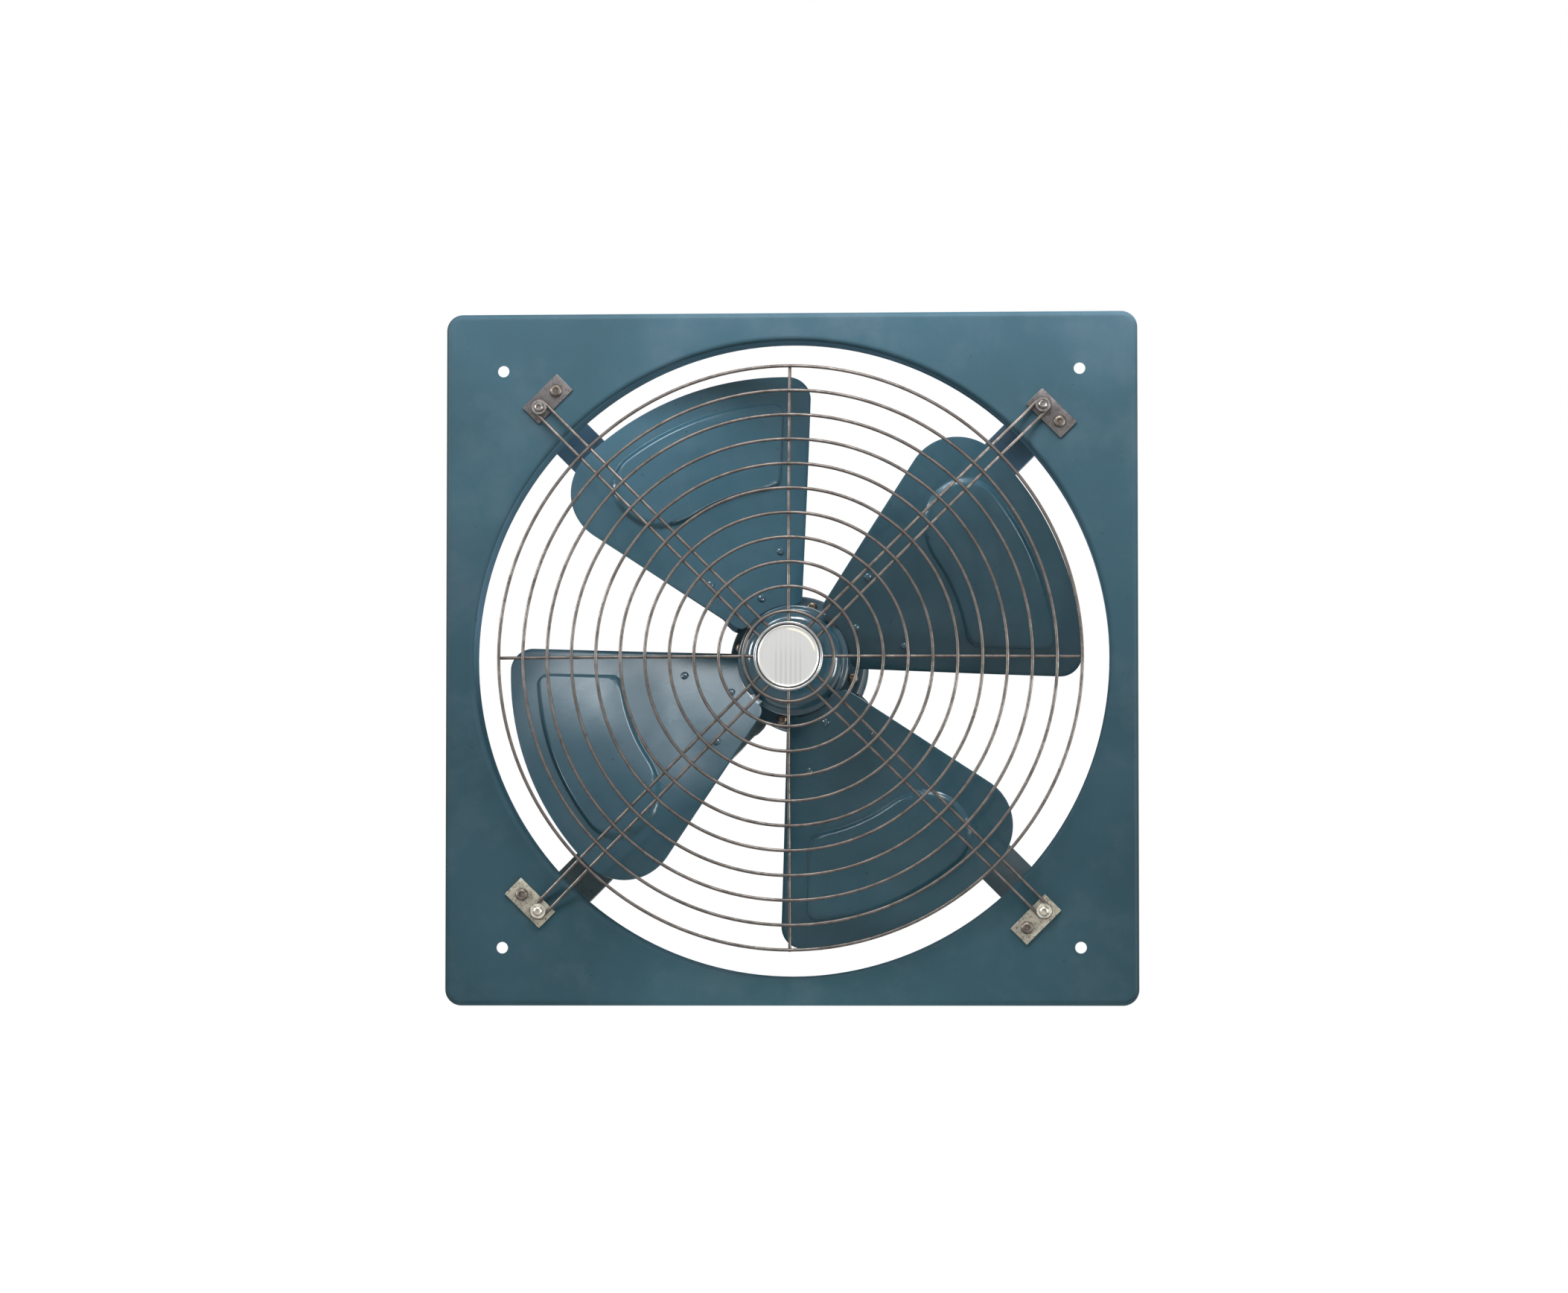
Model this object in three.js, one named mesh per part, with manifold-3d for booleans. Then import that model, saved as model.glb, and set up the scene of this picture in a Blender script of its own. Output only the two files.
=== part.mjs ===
// A plate-mounted axial exhaust fan: a pressed impeller turns in the collar of a square steel plate, a welded
// wire guard covers it in front, and a motor on four diagonal arms drives it from behind.
// Millimetres, +Z up, +X to the right seen from the guard side. The shaft lies along Y, the guard at the -Y side.
// The origin is on the shaft's axis, in the plane where the plate's folded rim meets the wall.
import * as THREE from "three";
import { mergeVertices } from "three/addons/utils/BufferGeometryUtils.js";
import Module from "manifold-3d";

const wasm = await Module();
wasm.setup();

// ---- Driving dimensions ------------------------------------------------------------------------------------

// Gaps: between faces that rest on each other, and round a shank in its hole
const SEAT = 0.3;
const HOLE_CLEARANCE = 0.4;

// How far a cutting tool runs past the faces that it cuts, and a joined shape into the one that it joins
const PAST = 1;

// Chamfer on turned and cast edges
const EDGE_BREAK = 1;

// Facets round a full turn, by the size of the piece
const FACETS_WIDE = 36;
const FACETS_ROUND = 28;
const FACETS_MOTOR = 20;
const FACETS_SMALL = 12;
const FACETS_SCREW = 8;
const RING_FACET_LENGTH = 60;

// Mounting plate: deep-drawn sheet with a folded rim and a bell mouth that runs into a short collar
const OPENING_RADIUS = 275;
const MOUTH_BEND = 5;
const MOUTH_LAP = 3;
const COLLAR_LENGTH = 38;
const PLATE_MARGIN = 20;
const PLATE_CORNER = 14;
const PLATE_SHEET = 2;
const RIM_DEPTH = 25;
const RIM_BEND = 5;
const MOUNT_HOLE_EDGE = 50;
const MOUNT_HOLE_RADIUS = 5;

// Impeller: four pressed blades on the arms of a spider
const BLADE_COUNT = 4;
const FIRST_BLADE_ANGLE = 117.5;
const TIP_CLEARANCE = 24;
const BLADE_SPAN = 59;
const BLADE_SHEET = 1.6;
const BLADE_ROOT_RADIUS = 49;
const STRAIGHT_OVERHANG = 4.5;
const ROUND_OVERHANG = 3.5;
const STRAIGHT_CORNER = 19;
const ROUND_CORNER = 45;
const ROOT_CORNER = 8;
const ROOT_PITCH = 28;
const TIP_PITCH = 17;
const BLADE_CAMBER = 7;
const CAMBER_REACH = 66;
const ROW_SPACING = 4;
const IMPELLER_SETBACK = 40;

// Embossed panel of a blade
const PANEL_BOTTOM_RADIUS = 155;
const PANEL_TIP_MARGIN = 27;
const PANEL_INSET = 21.5;
const PANEL_END = 50;
const PANEL_HEIGHT = 4;
const PANEL_STEP = 4;

// Hub and spider
const HUB_RADIUS = 46;
const HUB_HALF_DEPTH = 15;
const HUB_WALL = 2.5;
const HUB_EDGE_BEND = 6;
const HUB_BOSS_RADIUS = 15;
const HUB_BOSS_REACH = 20;
const SPIDER_SHEET = 2.5;
const SPIDER_SEAT = 0.5;
const SPIDER_TIP_RADIUS = 110;
const SPIDER_SPAN = 50;
const SPIDER_CORNER = 14;

// Shaft, its key, and the nut and washer that hold the hub
const SHAFT_RADIUS = 7.5;
const SHOULDER_STEP = 1.2;
const SHAFT_THREAD_RADIUS = 6;
const SHAFT_NUT_FLATS = 18;
const SHAFT_NUT_HEIGHT = 10;
const SHAFT_WASHER_RADIUS = 12.5;
const SHAFT_WASHER_SHEET = 2;
const SHAFT_TIP = 2.5;
const KEY_SIZE = 5;
const KEY_LENGTH = 22;

// Ball bearings
const RACE_WALL = 1.8;
const BALL_RADIUS = 2.9;
const BALL_COUNT = 8;
const CAGE_WALL = 0.9;
const CAGE_WIDTH = 7;
const BEARING_WIDTH = 11;

// Motor
const MOTOR_RADIUS = 59;
const MOTOR_SHELL_WALL = 2.5;
const COVER_WALL = 4;
const COVER_DEPTH = 16;
const COVER_STEP_RADIUS = 43;
const COVER_STEP = 4;
const HOUSING_WALL = 4;
const HOUSING_REACH = 8;
const ROTOR_RADIUS = 31;
const AIR_GAP = 0.7;
const CORE_LENGTH = 55;
const WINDING_LENGTH = 13;
const WINDING_CORE_MARGIN = 3;
const END_ROOM = 4;
const THROUGH_BOLT_RADIUS = 2.5;
const THROUGH_BOLT_EDGE = 2;
const THROUGH_BOLT_HEAD = 4.6;
const THROUGH_BOLT_HEAD_HEIGHT = 3.4;
const THROUGH_BOSS_LENGTH = 8;
const COVER_CHAMFER = 3;
const FIRST_THROUGH_BOLT_ANGLE = 75;

// Motor arms: channel strips from the front cover's ears to the plate's rear face
const CORNER_COUNT = 4;
const FIRST_CORNER_ANGLE = 45;
const ARM_WIDTH = 38;
const ARM_SHEET = 3;
const ARM_FLANGE = 11;
const ARM_CLEARANCE = 8;
const ARM_BEND = 6;
const ARM_END_ROUND = 9;
const ARM_BOLT_OUT = 8;
const ARM_BOLT_ASIDE = 7;
const ARM_BOLT_RADIUS = 3;
const ARM_BOLT_HEAD = 5.5;
const ARM_BOLT_HEAD_HEIGHT = 4;
const HEAD_CHAMFER = 1.2;
const BOLT_END = 2;
const ARM_END_MARGIN = 9;
const EAR_THICKNESS = 9;
const LEG_CLEARANCE = 13;

// Wire guard
const WIRE_RADIUS = 1.4;
const WELD_SINK = 0.6;
const RING_COUNT = 11;
const FIRST_RING_RADIUS = 39;
const RING_MARGIN = 23;
const GUARD_STAND_OFF = 31;
const GUARD_DISH = 18;
const GUARD_FOOT_START = 7;
const SPOKE_START = 17;
const HAIRPIN_GAP = 11.5;

// Guard boss and its bright disc
const BOSS_RADIUS = 30;
const BOSS_SHEET = 1.2;
const BOSS_RIM_WIDTH = 2.4;
const BOSS_RIM_HEIGHT = 5;
const DISC_RADIUS = 26.6;
const DISC_SHEET = 1.5;
const DISC_EDGE_WIDTH = 1.1;
const DISC_EDGE_HEIGHT = 0.8;

// Clip plates and their screws
const CLIP_OUT = 34;
const CLIP_LENGTH = 42;
const CLIP_WIDTH = 20;
const CLIP_SHEET = 1.5;
const CLIP_CORNER = 0.8;
const CLIP_SCREW_SPACING = 20.5;
const CLIP_SCREW_RADIUS = 2.5;
const CLIP_SCREW_HEAD = 4.5;
const CLIP_SCREW_HEAD_HEIGHT = 3;
const CLIP_WASHER_RADIUS = 6.5;
const CLIP_WASHER_SHEET = 1.2;
const SIDE_SCREW_HEAD = 5.5;
const SIDE_SCREW_REACH = 6;
const FOOT_NUT_FLATS = 8;
const FOOT_NUT_HEIGHT = 4.5;
const FOOT_END_MARGIN = 13;

// Capacitor box on the rear cover, with its lid and cable gland
const BOX_LENGTH = 84;
const BOX_HEIGHT = 54;
const BOX_DEPTH = 36;
const BOX_WALL = 2;
const BOX_CORNER = 8;
const LID_SHEET = 2;
const LID_LIP = 3;
const CAPACITOR_RADIUS = 14;
const CAPACITOR_LENGTH = 62;
const TAB_WIDTH = 6;
const TAB_LENGTH = 6;
const TAB_SHEET = 0.8;
const TAB_SPACING = 12;
const GLAND_THREAD_RADIUS = 8;
const GLAND_BORE_RADIUS = 4.5;
const GLAND_NUT_FLATS = 21;
const GLAND_REACH = 20;
const GLAND_FLANGE = 4;
const GLAND_NECK = 5;
const GLAND_END_MARGIN = 22;

// ---- Places worked out from them ---------------------------------------------------------------------------

const PLATE_SIDE = 2 * (OPENING_RADIUS + MOUTH_BEND + PLATE_MARGIN);
const MOUNT_PITCH = PLATE_SIDE - 2 * MOUNT_HOLE_EDGE;
const CLIP_AT = OPENING_RADIUS + CLIP_OUT;
const PLATE_FRONT = -RIM_DEPTH;
const PLATE_BACK = PLATE_FRONT + PLATE_SHEET;
const TIP_RADIUS = OPENING_RADIUS - TIP_CLEARANCE;
const IMPELLER_Y = PLATE_FRONT + IMPELLER_SETBACK;
const HALF_SPAN = THREE.MathUtils.degToRad(BLADE_SPAN / 2);
const HUB_FRONT = IMPELLER_Y - HUB_HALF_DEPTH;
const HUB_BACK = IMPELLER_Y + HUB_BOSS_REACH;
const KEY_START = HUB_FRONT + HUB_WALL;
const KEY_FLOOR = SHAFT_RADIUS - KEY_SIZE / 2;
const KEY_TOP = KEY_FLOOR + KEY_SIZE - SEAT;
const BLADE_BACK = IMPELLER_Y + axialTravel(TIP_RADIUS) * (HALF_SPAN + STRAIGHT_OVERHANG / TIP_RADIUS);

const ARM_FRONT = BLADE_BACK + BLADE_SHEET + ARM_CLEARANCE;
const ARM_BOLT_AT = MOTOR_RADIUS + ARM_BOLT_OUT;
const ARM_START = ARM_BOLT_AT - ARM_END_MARGIN;
const LEG_AT = OPENING_RADIUS + MOUTH_BEND + LEG_CLEARANCE;
const FOOT_END = CLIP_AT + FOOT_END_MARGIN;

const COVER_FRONT = ARM_FRONT + ARM_SHEET + SEAT;
const SHELL_START = COVER_FRONT + COVER_DEPTH + SEAT;
const CORE_START = COVER_FRONT + COVER_WALL + END_ROOM + WINDING_LENGTH;
const CORE_END = CORE_START + CORE_LENGTH;
const COVER_BACK = CORE_END + WINDING_LENGTH + END_ROOM + COVER_WALL;
const GLAND_AT_X = BOX_LENGTH / 2 - GLAND_END_MARGIN;
const SHELL_END = COVER_BACK - COVER_DEPTH - SEAT;
const SHELL_BORE = MOTOR_RADIUS - MOTOR_SHELL_WALL;
const CORE_RADIUS = SHELL_BORE - SEAT;
const CORE_BORE = ROTOR_RADIUS + AIR_GAP;
const THROUGH_HOLE_RADIUS = THROUGH_BOLT_RADIUS + HOLE_CLEARANCE;
const THROUGH_BOLT_AT = CORE_RADIUS - THROUGH_BOLT_EDGE - THROUGH_HOLE_RADIUS;

const SHAFT_BORE = SHAFT_RADIUS + SEAT;
const INNER_RACE_RADIUS = SHAFT_BORE + RACE_WALL;
const BALL_CIRCLE = INNER_RACE_RADIUS + SEAT + BALL_RADIUS;
const OUTER_RACE_BORE = BALL_CIRCLE + BALL_RADIUS + SEAT;
const OUTER_RACE_RADIUS = OUTER_RACE_BORE + RACE_WALL;
const POCKET_RADIUS = OUTER_RACE_RADIUS + SEAT;
const SHAFT_HOLE_RADIUS = SHAFT_RADIUS + SHOULDER_STEP + AIR_GAP;
const FRONT_BEARING_Y = COVER_FRONT - HOUSING_REACH + HOUSING_WALL + SEAT;
const REAR_BEARING_Y = COVER_BACK - COVER_WALL - SEAT - BEARING_WIDTH;

const CLIP_BACK = PLATE_FRONT - SEAT;
const CLIP_FRONT = CLIP_BACK - CLIP_SHEET;
const SPOKE_REST = CLIP_FRONT - SEAT - WIRE_RADIUS;
const SPOKE_LANDING = CLIP_AT - CLIP_WIDTH / 2 - GUARD_FOOT_START;
const OUTER_RING_RADIUS = OPENING_RADIUS - RING_MARGIN;
const RING_PITCH = (OUTER_RING_RADIUS - FIRST_RING_RADIUS) / (RING_COUNT - 1);
const BOSS_BACK = spokeY(SPOKE_START) - WIRE_RADIUS - SEAT;
const FOOT_BACK = PLATE_BACK + SEAT + ARM_SHEET;

// ---- Colours -----------------------------------------------------------------------------------------------

const ENAMEL = { color: 0x3e5b66, roughness: 0.42, metalness: 0.1 };
const BRIGHT_STEEL = { color: 0xc9cac7, roughness: 0.32, metalness: 0.9 };
const ZINC = { color: 0x8d8c84, roughness: 0.5, metalness: 0.85 };
const WIRE_STEEL = { color: 0x8a827a, roughness: 0.4, metalness: 0.85 };
const CAST_ALUMINIUM = { color: 0x4a5a60, roughness: 0.6, metalness: 0.4 };
const LAMINATION = { color: 0x6d7074, roughness: 0.55, metalness: 0.7 };
const COPPER = { color: 0xa85f33, roughness: 0.45, metalness: 0.8 };
const BLACK_PLASTIC = { color: 0x202224, roughness: 0.55, metalness: 0 };

// ---- Shapes shared by the pieces ---------------------------------------------------------------------------

// A closed mesh as a solid that can be joined and cut
function solid(geometry) {
  const bare = geometry.clone();
  bare.deleteAttribute("normal");
  bare.deleteAttribute("uv");
  const merged = mergeVertices(bare, 1e-4);
  const triVerts = [];
  const index = merged.index.array;
  for (let i = 0; i < index.length; i += 3) {
    const [a, b, c] = [index[i], index[i + 1], index[i + 2]];
    if (a !== b && b !== c && c !== a) triVerts.push(a, b, c);
  }
  return new wasm.Manifold(
    new wasm.Mesh({
      numProp: 3,
      vertProperties: new Float32Array(merged.attributes.position.array),
      triVerts: new Uint32Array(triVerts),
    }),
  );
}

function geometryOf(made) {
  const mesh = made.getMesh();
  const geometry = new THREE.BufferGeometry();
  geometry.setAttribute("position", new THREE.BufferAttribute(mesh.vertProperties, 3));
  geometry.setIndex(new THREE.BufferAttribute(mesh.triVerts, 1));
  const flat = geometry.toNonIndexed();
  flat.computeVertexNormals();
  return flat;
}

function join(...geometries) {
  return geometryOf(geometries.map(solid).reduce((a, b) => a.add(b)));
}

function cut(geometry, ...tools) {
  return geometryOf(tools.map(solid).reduce((a, b) => a.subtract(b), solid(geometry)));
}

// Turned about the shaft's axis, counterclockwise seen from the guard side
function turned(geometry, degrees) {
  return geometry.clone().rotateY(-THREE.MathUtils.degToRad(degrees));
}

// A profile of [radius, y] points revolved about the shaft's axis, whichever way its points run
function revolve(profile, segments) {
  const points = profile.map(([r, y]) => new THREE.Vector2(r, y));
  if (THREE.ShapeUtils.isClockWise(points)) points.reverse();
  if (points.some((p) => p.x > 0) && profile[0][0] > 0) points.push(points[0].clone());
  return new THREE.LatheGeometry(points, segments);
}

// A ring of rectangular section between two radii and two places along the shaft
function ring(inner, outer, start, end, segments) {
  return revolve([[inner, start], [outer, start], [outer, end], [inner, end]], segments);
}

// A round bar along Y
function bar(radius, start, end, segments = FACETS_SCREW) {
  return new THREE.CylinderGeometry(radius, radius, end - start, segments).translate(0, (start + end) / 2, 0);
}

// The tool for a round hole along Y: its flats touch the radius, so a shank of that radius passes through
function drill(radius, start, end, segments = FACETS_SCREW) {
  return bar(radius / Math.cos(Math.PI / segments), start, end, segments);
}

// The distance from the middle of a six-sided nut to its corners, for its width across flats
function hexCorner(flats) {
  return flats / 2 / Math.cos(Math.PI / 6);
}

// A six-sided nut along Y, with its bore
function hexNut(flats, bore, start, end) {
  const body = bar(hexCorner(flats), start, end, 6);
  return cut(body, drill(bore, start - PAST, end + PAST));
}

// A flat outline drawn in X and Z, made into a sheet from y = front to y = back
function sheet(shape, front, back, curveSegments = 6) {
  const made = new THREE.ExtrudeGeometry(shape, { depth: back - front, bevelEnabled: false, curveSegments });
  return made.rotateX(Math.PI / 2).translate(0, back, 0);
}

// A rectangle with round corners, between two X and two Z
function roundedRectangle(x0, x1, z0, z1, radius) {
  const shape = new THREE.Shape();
  shape.moveTo(x0 + radius, z0);
  shape.lineTo(x1 - radius, z0);
  shape.absarc(x1 - radius, z0 + radius, radius, -Math.PI / 2, 0);
  shape.lineTo(x1, z1 - radius);
  shape.absarc(x1 - radius, z1 - radius, radius, 0, Math.PI / 2);
  shape.lineTo(x0 + radius, z1);
  shape.absarc(x0 + radius, z1 - radius, radius, Math.PI / 2, Math.PI);
  shape.lineTo(x0, z0 + radius);
  shape.absarc(x0 + radius, z0 + radius, radius, Math.PI, 1.5 * Math.PI);
  return shape;
}

// Points along a quarter turn about a centre, from one angle to another
function arcPoints(x, y, radius, from, to, steps) {
  return Array.from({ length: steps + 1 }, (_, i) => {
    const a = THREE.MathUtils.degToRad(from + ((to - from) * i) / steps);
    return [x + radius * Math.cos(a), y + radius * Math.sin(a)];
  });
}

// A sheet bent along a line of [x, y] points, as the outline of its edge
function bentStrip(line, thickness, bend, steps = 3) {
  const points = line.map(([x, y]) => new THREE.Vector2(x, y));
  const left = [];
  const right = [];
  const side = (p, along, half) => [p.x - along.y * half, p.y + along.x * half];
  points.forEach((p, i) => {
    const before = i > 0 ? p.clone().sub(points[i - 1]).normalize() : null;
    const after = i < points.length - 1 ? points[i + 1].clone().sub(p).normalize() : null;
    if (!before || !after) {
      left.push(side(p, before || after, thickness / 2));
      right.push(side(p, before || after, -thickness / 2));
      return;
    }
    const turn = Math.atan2(before.cross(after), before.dot(after));
    const reach = bend * Math.tan(Math.abs(turn) / 2);
    const start = p.clone().addScaledVector(before, -reach);
    const towards = new THREE.Vector2(-before.y, before.x).multiplyScalar(Math.sign(turn));
    const centre = start.clone().addScaledVector(towards, bend);
    for (let k = 0; k <= steps; k++) {
      const a = (turn * k) / steps;
      const along = before.clone().rotateAround(new THREE.Vector2(), a);
      const q = start.clone().rotateAround(centre, a);
      left.push(side(q, along, thickness / 2));
      right.push(side(q, along, -thickness / 2));
    }
  });
  return new THREE.Shape([...left, ...right.reverse()].map(([x, y]) => new THREE.Vector2(x, y)));
}

// An outline drawn in X and Y, made as wide as a strip lying across Z
function acrossZ(shape, width) {
  const made = new THREE.ExtrudeGeometry(shape, { depth: width, bevelEnabled: false });
  return made.translate(0, 0, -width / 2);
}

// A path that has a section exactly at each of its points
class PointPath extends THREE.Curve {
  constructor(points) {
    super();
    this.points = points;
  }
  getPoint(t, target = new THREE.Vector3()) {
    const at = t * (this.points.length - 1);
    const i = Math.min(Math.floor(at), this.points.length - 2);
    return target.copy(this.points[i]).lerp(this.points[i + 1], at - i);
  }
  getPointAt(u, target) {
    return this.getPoint(u, target);
  }
  getTangentAt(u, target = new THREE.Vector3()) {
    const last = this.points.length - 1;
    const i = Math.round(u * last);
    const before = this.points[Math.max(i - 1, 0)];
    const after = this.points[Math.min(i + 1, last)];
    return target.copy(after).sub(before).normalize();
  }
}

// A round wire through a list of points
function wire(points, radius = WIRE_RADIUS, sides = 4) {
  const section = new THREE.Shape(
    Array.from({ length: sides }, (_, i) => {
      const a = (2 * Math.PI * i) / sides;
      return new THREE.Vector2(radius * Math.cos(a), radius * Math.sin(a));
    }),
  );
  const steps = points.length - 1;
  return new THREE.ExtrudeGeometry(section, { steps, extrudePath: new PointPath(points) });
}

// Two grids of points, the front and the rear face of a pressed sheet, closed round their edge
function pressing(front, rear) {
  const rows = front.length;
  const columns = front[0].length;
  const positions = [...front.flat(), ...rear.flat()].flatMap((p) => [p.x, p.y, p.z]);
  const at = (i, j) => i * columns + j;
  const back = (i, j) => rows * columns + i * columns + j;
  const index = [];
  const quad = (a, b, c, d) => index.push(a, b, c, a, c, d);
  for (let i = 0; i < rows - 1; i++) {
    for (let j = 0; j < columns - 1; j++) {
      quad(at(i, j), at(i + 1, j), at(i + 1, j + 1), at(i, j + 1));
      quad(back(i, j), back(i, j + 1), back(i + 1, j + 1), back(i + 1, j));
    }
    quad(at(i, 0), back(i, 0), back(i + 1, 0), at(i + 1, 0));
    quad(at(i, columns - 1), at(i + 1, columns - 1), back(i + 1, columns - 1), back(i, columns - 1));
  }
  for (let j = 0; j < columns - 1; j++) {
    quad(at(0, j), at(0, j + 1), back(0, j + 1), back(0, j));
    quad(at(rows - 1, j), back(rows - 1, j), back(rows - 1, j + 1), at(rows - 1, j + 1));
  }
  const made = new THREE.BufferGeometry();
  made.setAttribute("position", new THREE.BufferAttribute(new Float32Array(positions), 3));
  made.setIndex(index);
  return made;
}

const root = new THREE.Group();

function add(name, geometry, finish, group = root) {
  const mesh = new THREE.Mesh(geometry, new THREE.MeshStandardMaterial(finish));
  mesh.name = name;
  group.add(mesh);
}

// A group turned about the shaft's axis, so that its X points along that radius
function spoke(degrees) {
  const group = new THREE.Group();
  group.rotation.y = -THREE.MathUtils.degToRad(degrees);
  root.add(group);
  return group;
}

function evenAngles(count, first) {
  return Array.from({ length: count }, (_, i) => first + (360 * i) / count);
}

const CORNER_NAMES = ["upper_right", "upper_left", "lower_left", "lower_right"];
const cornerAngles = evenAngles(CORNER_COUNT, FIRST_CORNER_ANGLE);

// ---- Mounting plate ----------------------------------------------------------------------------------------

// A block with a rounded front and rear edge, of which the front half is the drawn tray
function trayBlock(bend, bevelSegments) {
  const half = PLATE_SIDE / 2 - RIM_BEND;
  const corner = Math.max(PLATE_CORNER - RIM_BEND, 1);
  const outline = roundedRectangle(-half, half, -half, half, corner);
  const options = {
    depth: 2 * (RIM_DEPTH - RIM_BEND),
    bevelEnabled: true,
    bevelThickness: bend,
    bevelSize: bend,
    bevelSegments,
    curveSegments: 3,
  };
  return new THREE.ExtrudeGeometry(outline, options).rotateX(Math.PI / 2).translate(0, RIM_DEPTH - RIM_BEND, 0);
}

function framePlate() {
  const flat = OPENING_RADIUS + MOUTH_BEND;
  const end = PLATE_FRONT + COLLAR_LENGTH;
  const rear = new THREE.BoxGeometry(2 * PLATE_SIDE, 2 * PLATE_SIDE, 2 * PLATE_SIDE).translate(0, PLATE_SIDE, 0);
  const tray = cut(trayBlock(RIM_BEND, 2), trayBlock(RIM_BEND - PLATE_SHEET, 1), rear);
  const mouth = revolve(
    [
      [flat + MOUTH_LAP, PLATE_FRONT],
      ...arcPoints(flat, PLATE_FRONT + MOUTH_BEND, MOUTH_BEND, 270, 180, 2),
      [OPENING_RADIUS, end],
      [OPENING_RADIUS + PLATE_SHEET, end],
      ...arcPoints(flat, PLATE_FRONT + MOUTH_BEND, MOUTH_BEND - PLATE_SHEET, 180, 270, 2),
      [flat + MOUTH_LAP, PLATE_BACK],
    ],
    FACETS_WIDE,
  );
  const [start, stop] = [PLATE_FRONT - PAST, PLATE_BACK + PAST];
  const opened = join(cut(tray, bar(flat + MOUTH_LAP / 2, start, stop, FACETS_WIDE)), mouth);
  const mountAt = MOUNT_PITCH / Math.SQRT2;
  const screwHole = drill(CLIP_SCREW_RADIUS + HOLE_CLEARANCE, start, stop);
  const mountHole = bar(MOUNT_HOLE_RADIUS, start, stop, FACETS_SMALL);
  const holes = cornerAngles.flatMap((angle) => [
    turned(mountHole.clone().translate(mountAt, 0, 0), angle),
    turned(screwHole.clone().translate(CLIP_AT, 0, 0), angle),
    turned(screwHole.clone().translate(CLIP_AT, 0, -CLIP_SCREW_SPACING), angle),
  ]);
  return cut(opened, ...holes);
}

add("frame_plate", framePlate(), ENAMEL);

// ---- Impeller ----------------------------------------------------------------------------------------------

// How far the blade's face moves along the shaft for each radian round it, at a radius
function axialTravel(r) {
  const share = (r - BLADE_ROOT_RADIUS) / (TIP_RADIUS - BLADE_ROOT_RADIUS);
  return r * Math.tan(THREE.MathUtils.degToRad(THREE.MathUtils.lerp(ROOT_PITCH, TIP_PITCH, share)));
}

// The middle face of a blade whose middle lies along X: a point at a radius and an angle towards the round edge
function bladeMiddle(r, angle) {
  const cupped = THREE.MathUtils.smoothstep(r, SPIDER_TIP_RADIUS, SPIDER_TIP_RADIUS + CAMBER_REACH);
  const camber = BLADE_CAMBER * cupped * (1 - (angle / HALF_SPAN) ** 2);
  return new THREE.Vector3(r * Math.cos(angle), -axialTravel(r) * angle - camber, r * Math.sin(angle));
}

// The same point lifted off the middle face, towards the guard
function bladePoint(r, angle, lift) {
  const small = 1e-3;
  const p = bladeMiddle(r, angle);
  const outwards = bladeMiddle(r + small * r, angle).sub(p);
  const round = bladeMiddle(r, angle + small).sub(p);
  return p.addScaledVector(round.cross(outwards).normalize(), -lift);
}

// The angle of a blade's edge at a radius, with its corner rounded at the tip and at the root
function edgeAngle(r, overhang, corner, span, inner, outer) {
  const half = THREE.MathUtils.degToRad(span / 2);
  const straight = half + Math.asin(overhang / r);
  const rounded = (centre, radius) => {
    const share = (r ** 2 + centre ** 2 - radius ** 2) / (2 * r * centre);
    return half - Math.asin((radius - overhang) / centre) + Math.acos(Math.min(1, share));
  };
  const tangent = (centre, radius) => Math.hypot(Math.sqrt(centre ** 2 - (radius - overhang) ** 2), overhang);
  if (r > tangent(outer - corner, corner)) return rounded(outer - corner, corner);
  if (r < tangent(inner + ROOT_CORNER, ROOT_CORNER)) return rounded(inner + ROOT_CORNER, ROOT_CORNER);
  return straight;
}

// The radii of the lines across a blade, closer together where its corners turn
function bladeRadii() {
  const tip = [1, 0.7, 0.42, 0.2, 0.06, 0].map((share) => TIP_RADIUS - ROUND_CORNER * share);
  const rootRows = [0, 0.3, 1].map((share) => BLADE_ROOT_RADIUS + ROOT_CORNER * share);
  const panelTop = TIP_RADIUS - PANEL_TIP_MARGIN;
  const panel = [0, 0.12, 0.5, 0.88, 1].map((share) =>
    THREE.MathUtils.lerp(PANEL_BOTTOM_RADIUS, panelTop, share),
  );
  const steps = [PANEL_BOTTOM_RADIUS - PANEL_STEP, panelTop + PANEL_STEP];
  const middle = [0.45].map((share) =>
    THREE.MathUtils.lerp(BLADE_ROOT_RADIUS + ROOT_CORNER, PANEL_BOTTOM_RADIUS, share),
  );
  const all = [...rootRows, ...middle, ...panel, ...steps, ...tip].sort((a, b) => a - b);
  const kept = new Set([...panel, ...steps, BLADE_ROOT_RADIUS, TIP_RADIUS]);
  return all.filter((r, i) => kept.has(r) || all.every((s, k) => k === i || Math.abs(s - r) > ROW_SPACING));
}

// The panel's round far end: how much of its height is left between its two long sides, from 0 to 1
function panelEnd(r) {
  const middle = (PANEL_BOTTOM_RADIUS + TIP_RADIUS - PANEL_TIP_MARGIN) / 2;
  const half = (TIP_RADIUS - PANEL_TIP_MARGIN - PANEL_BOTTOM_RADIUS) / 2;
  const off = Math.min(Math.abs(r - middle) / half, 1);
  return (1 - Math.sqrt(1 - off ** 2.6)) * half;
}

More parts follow.
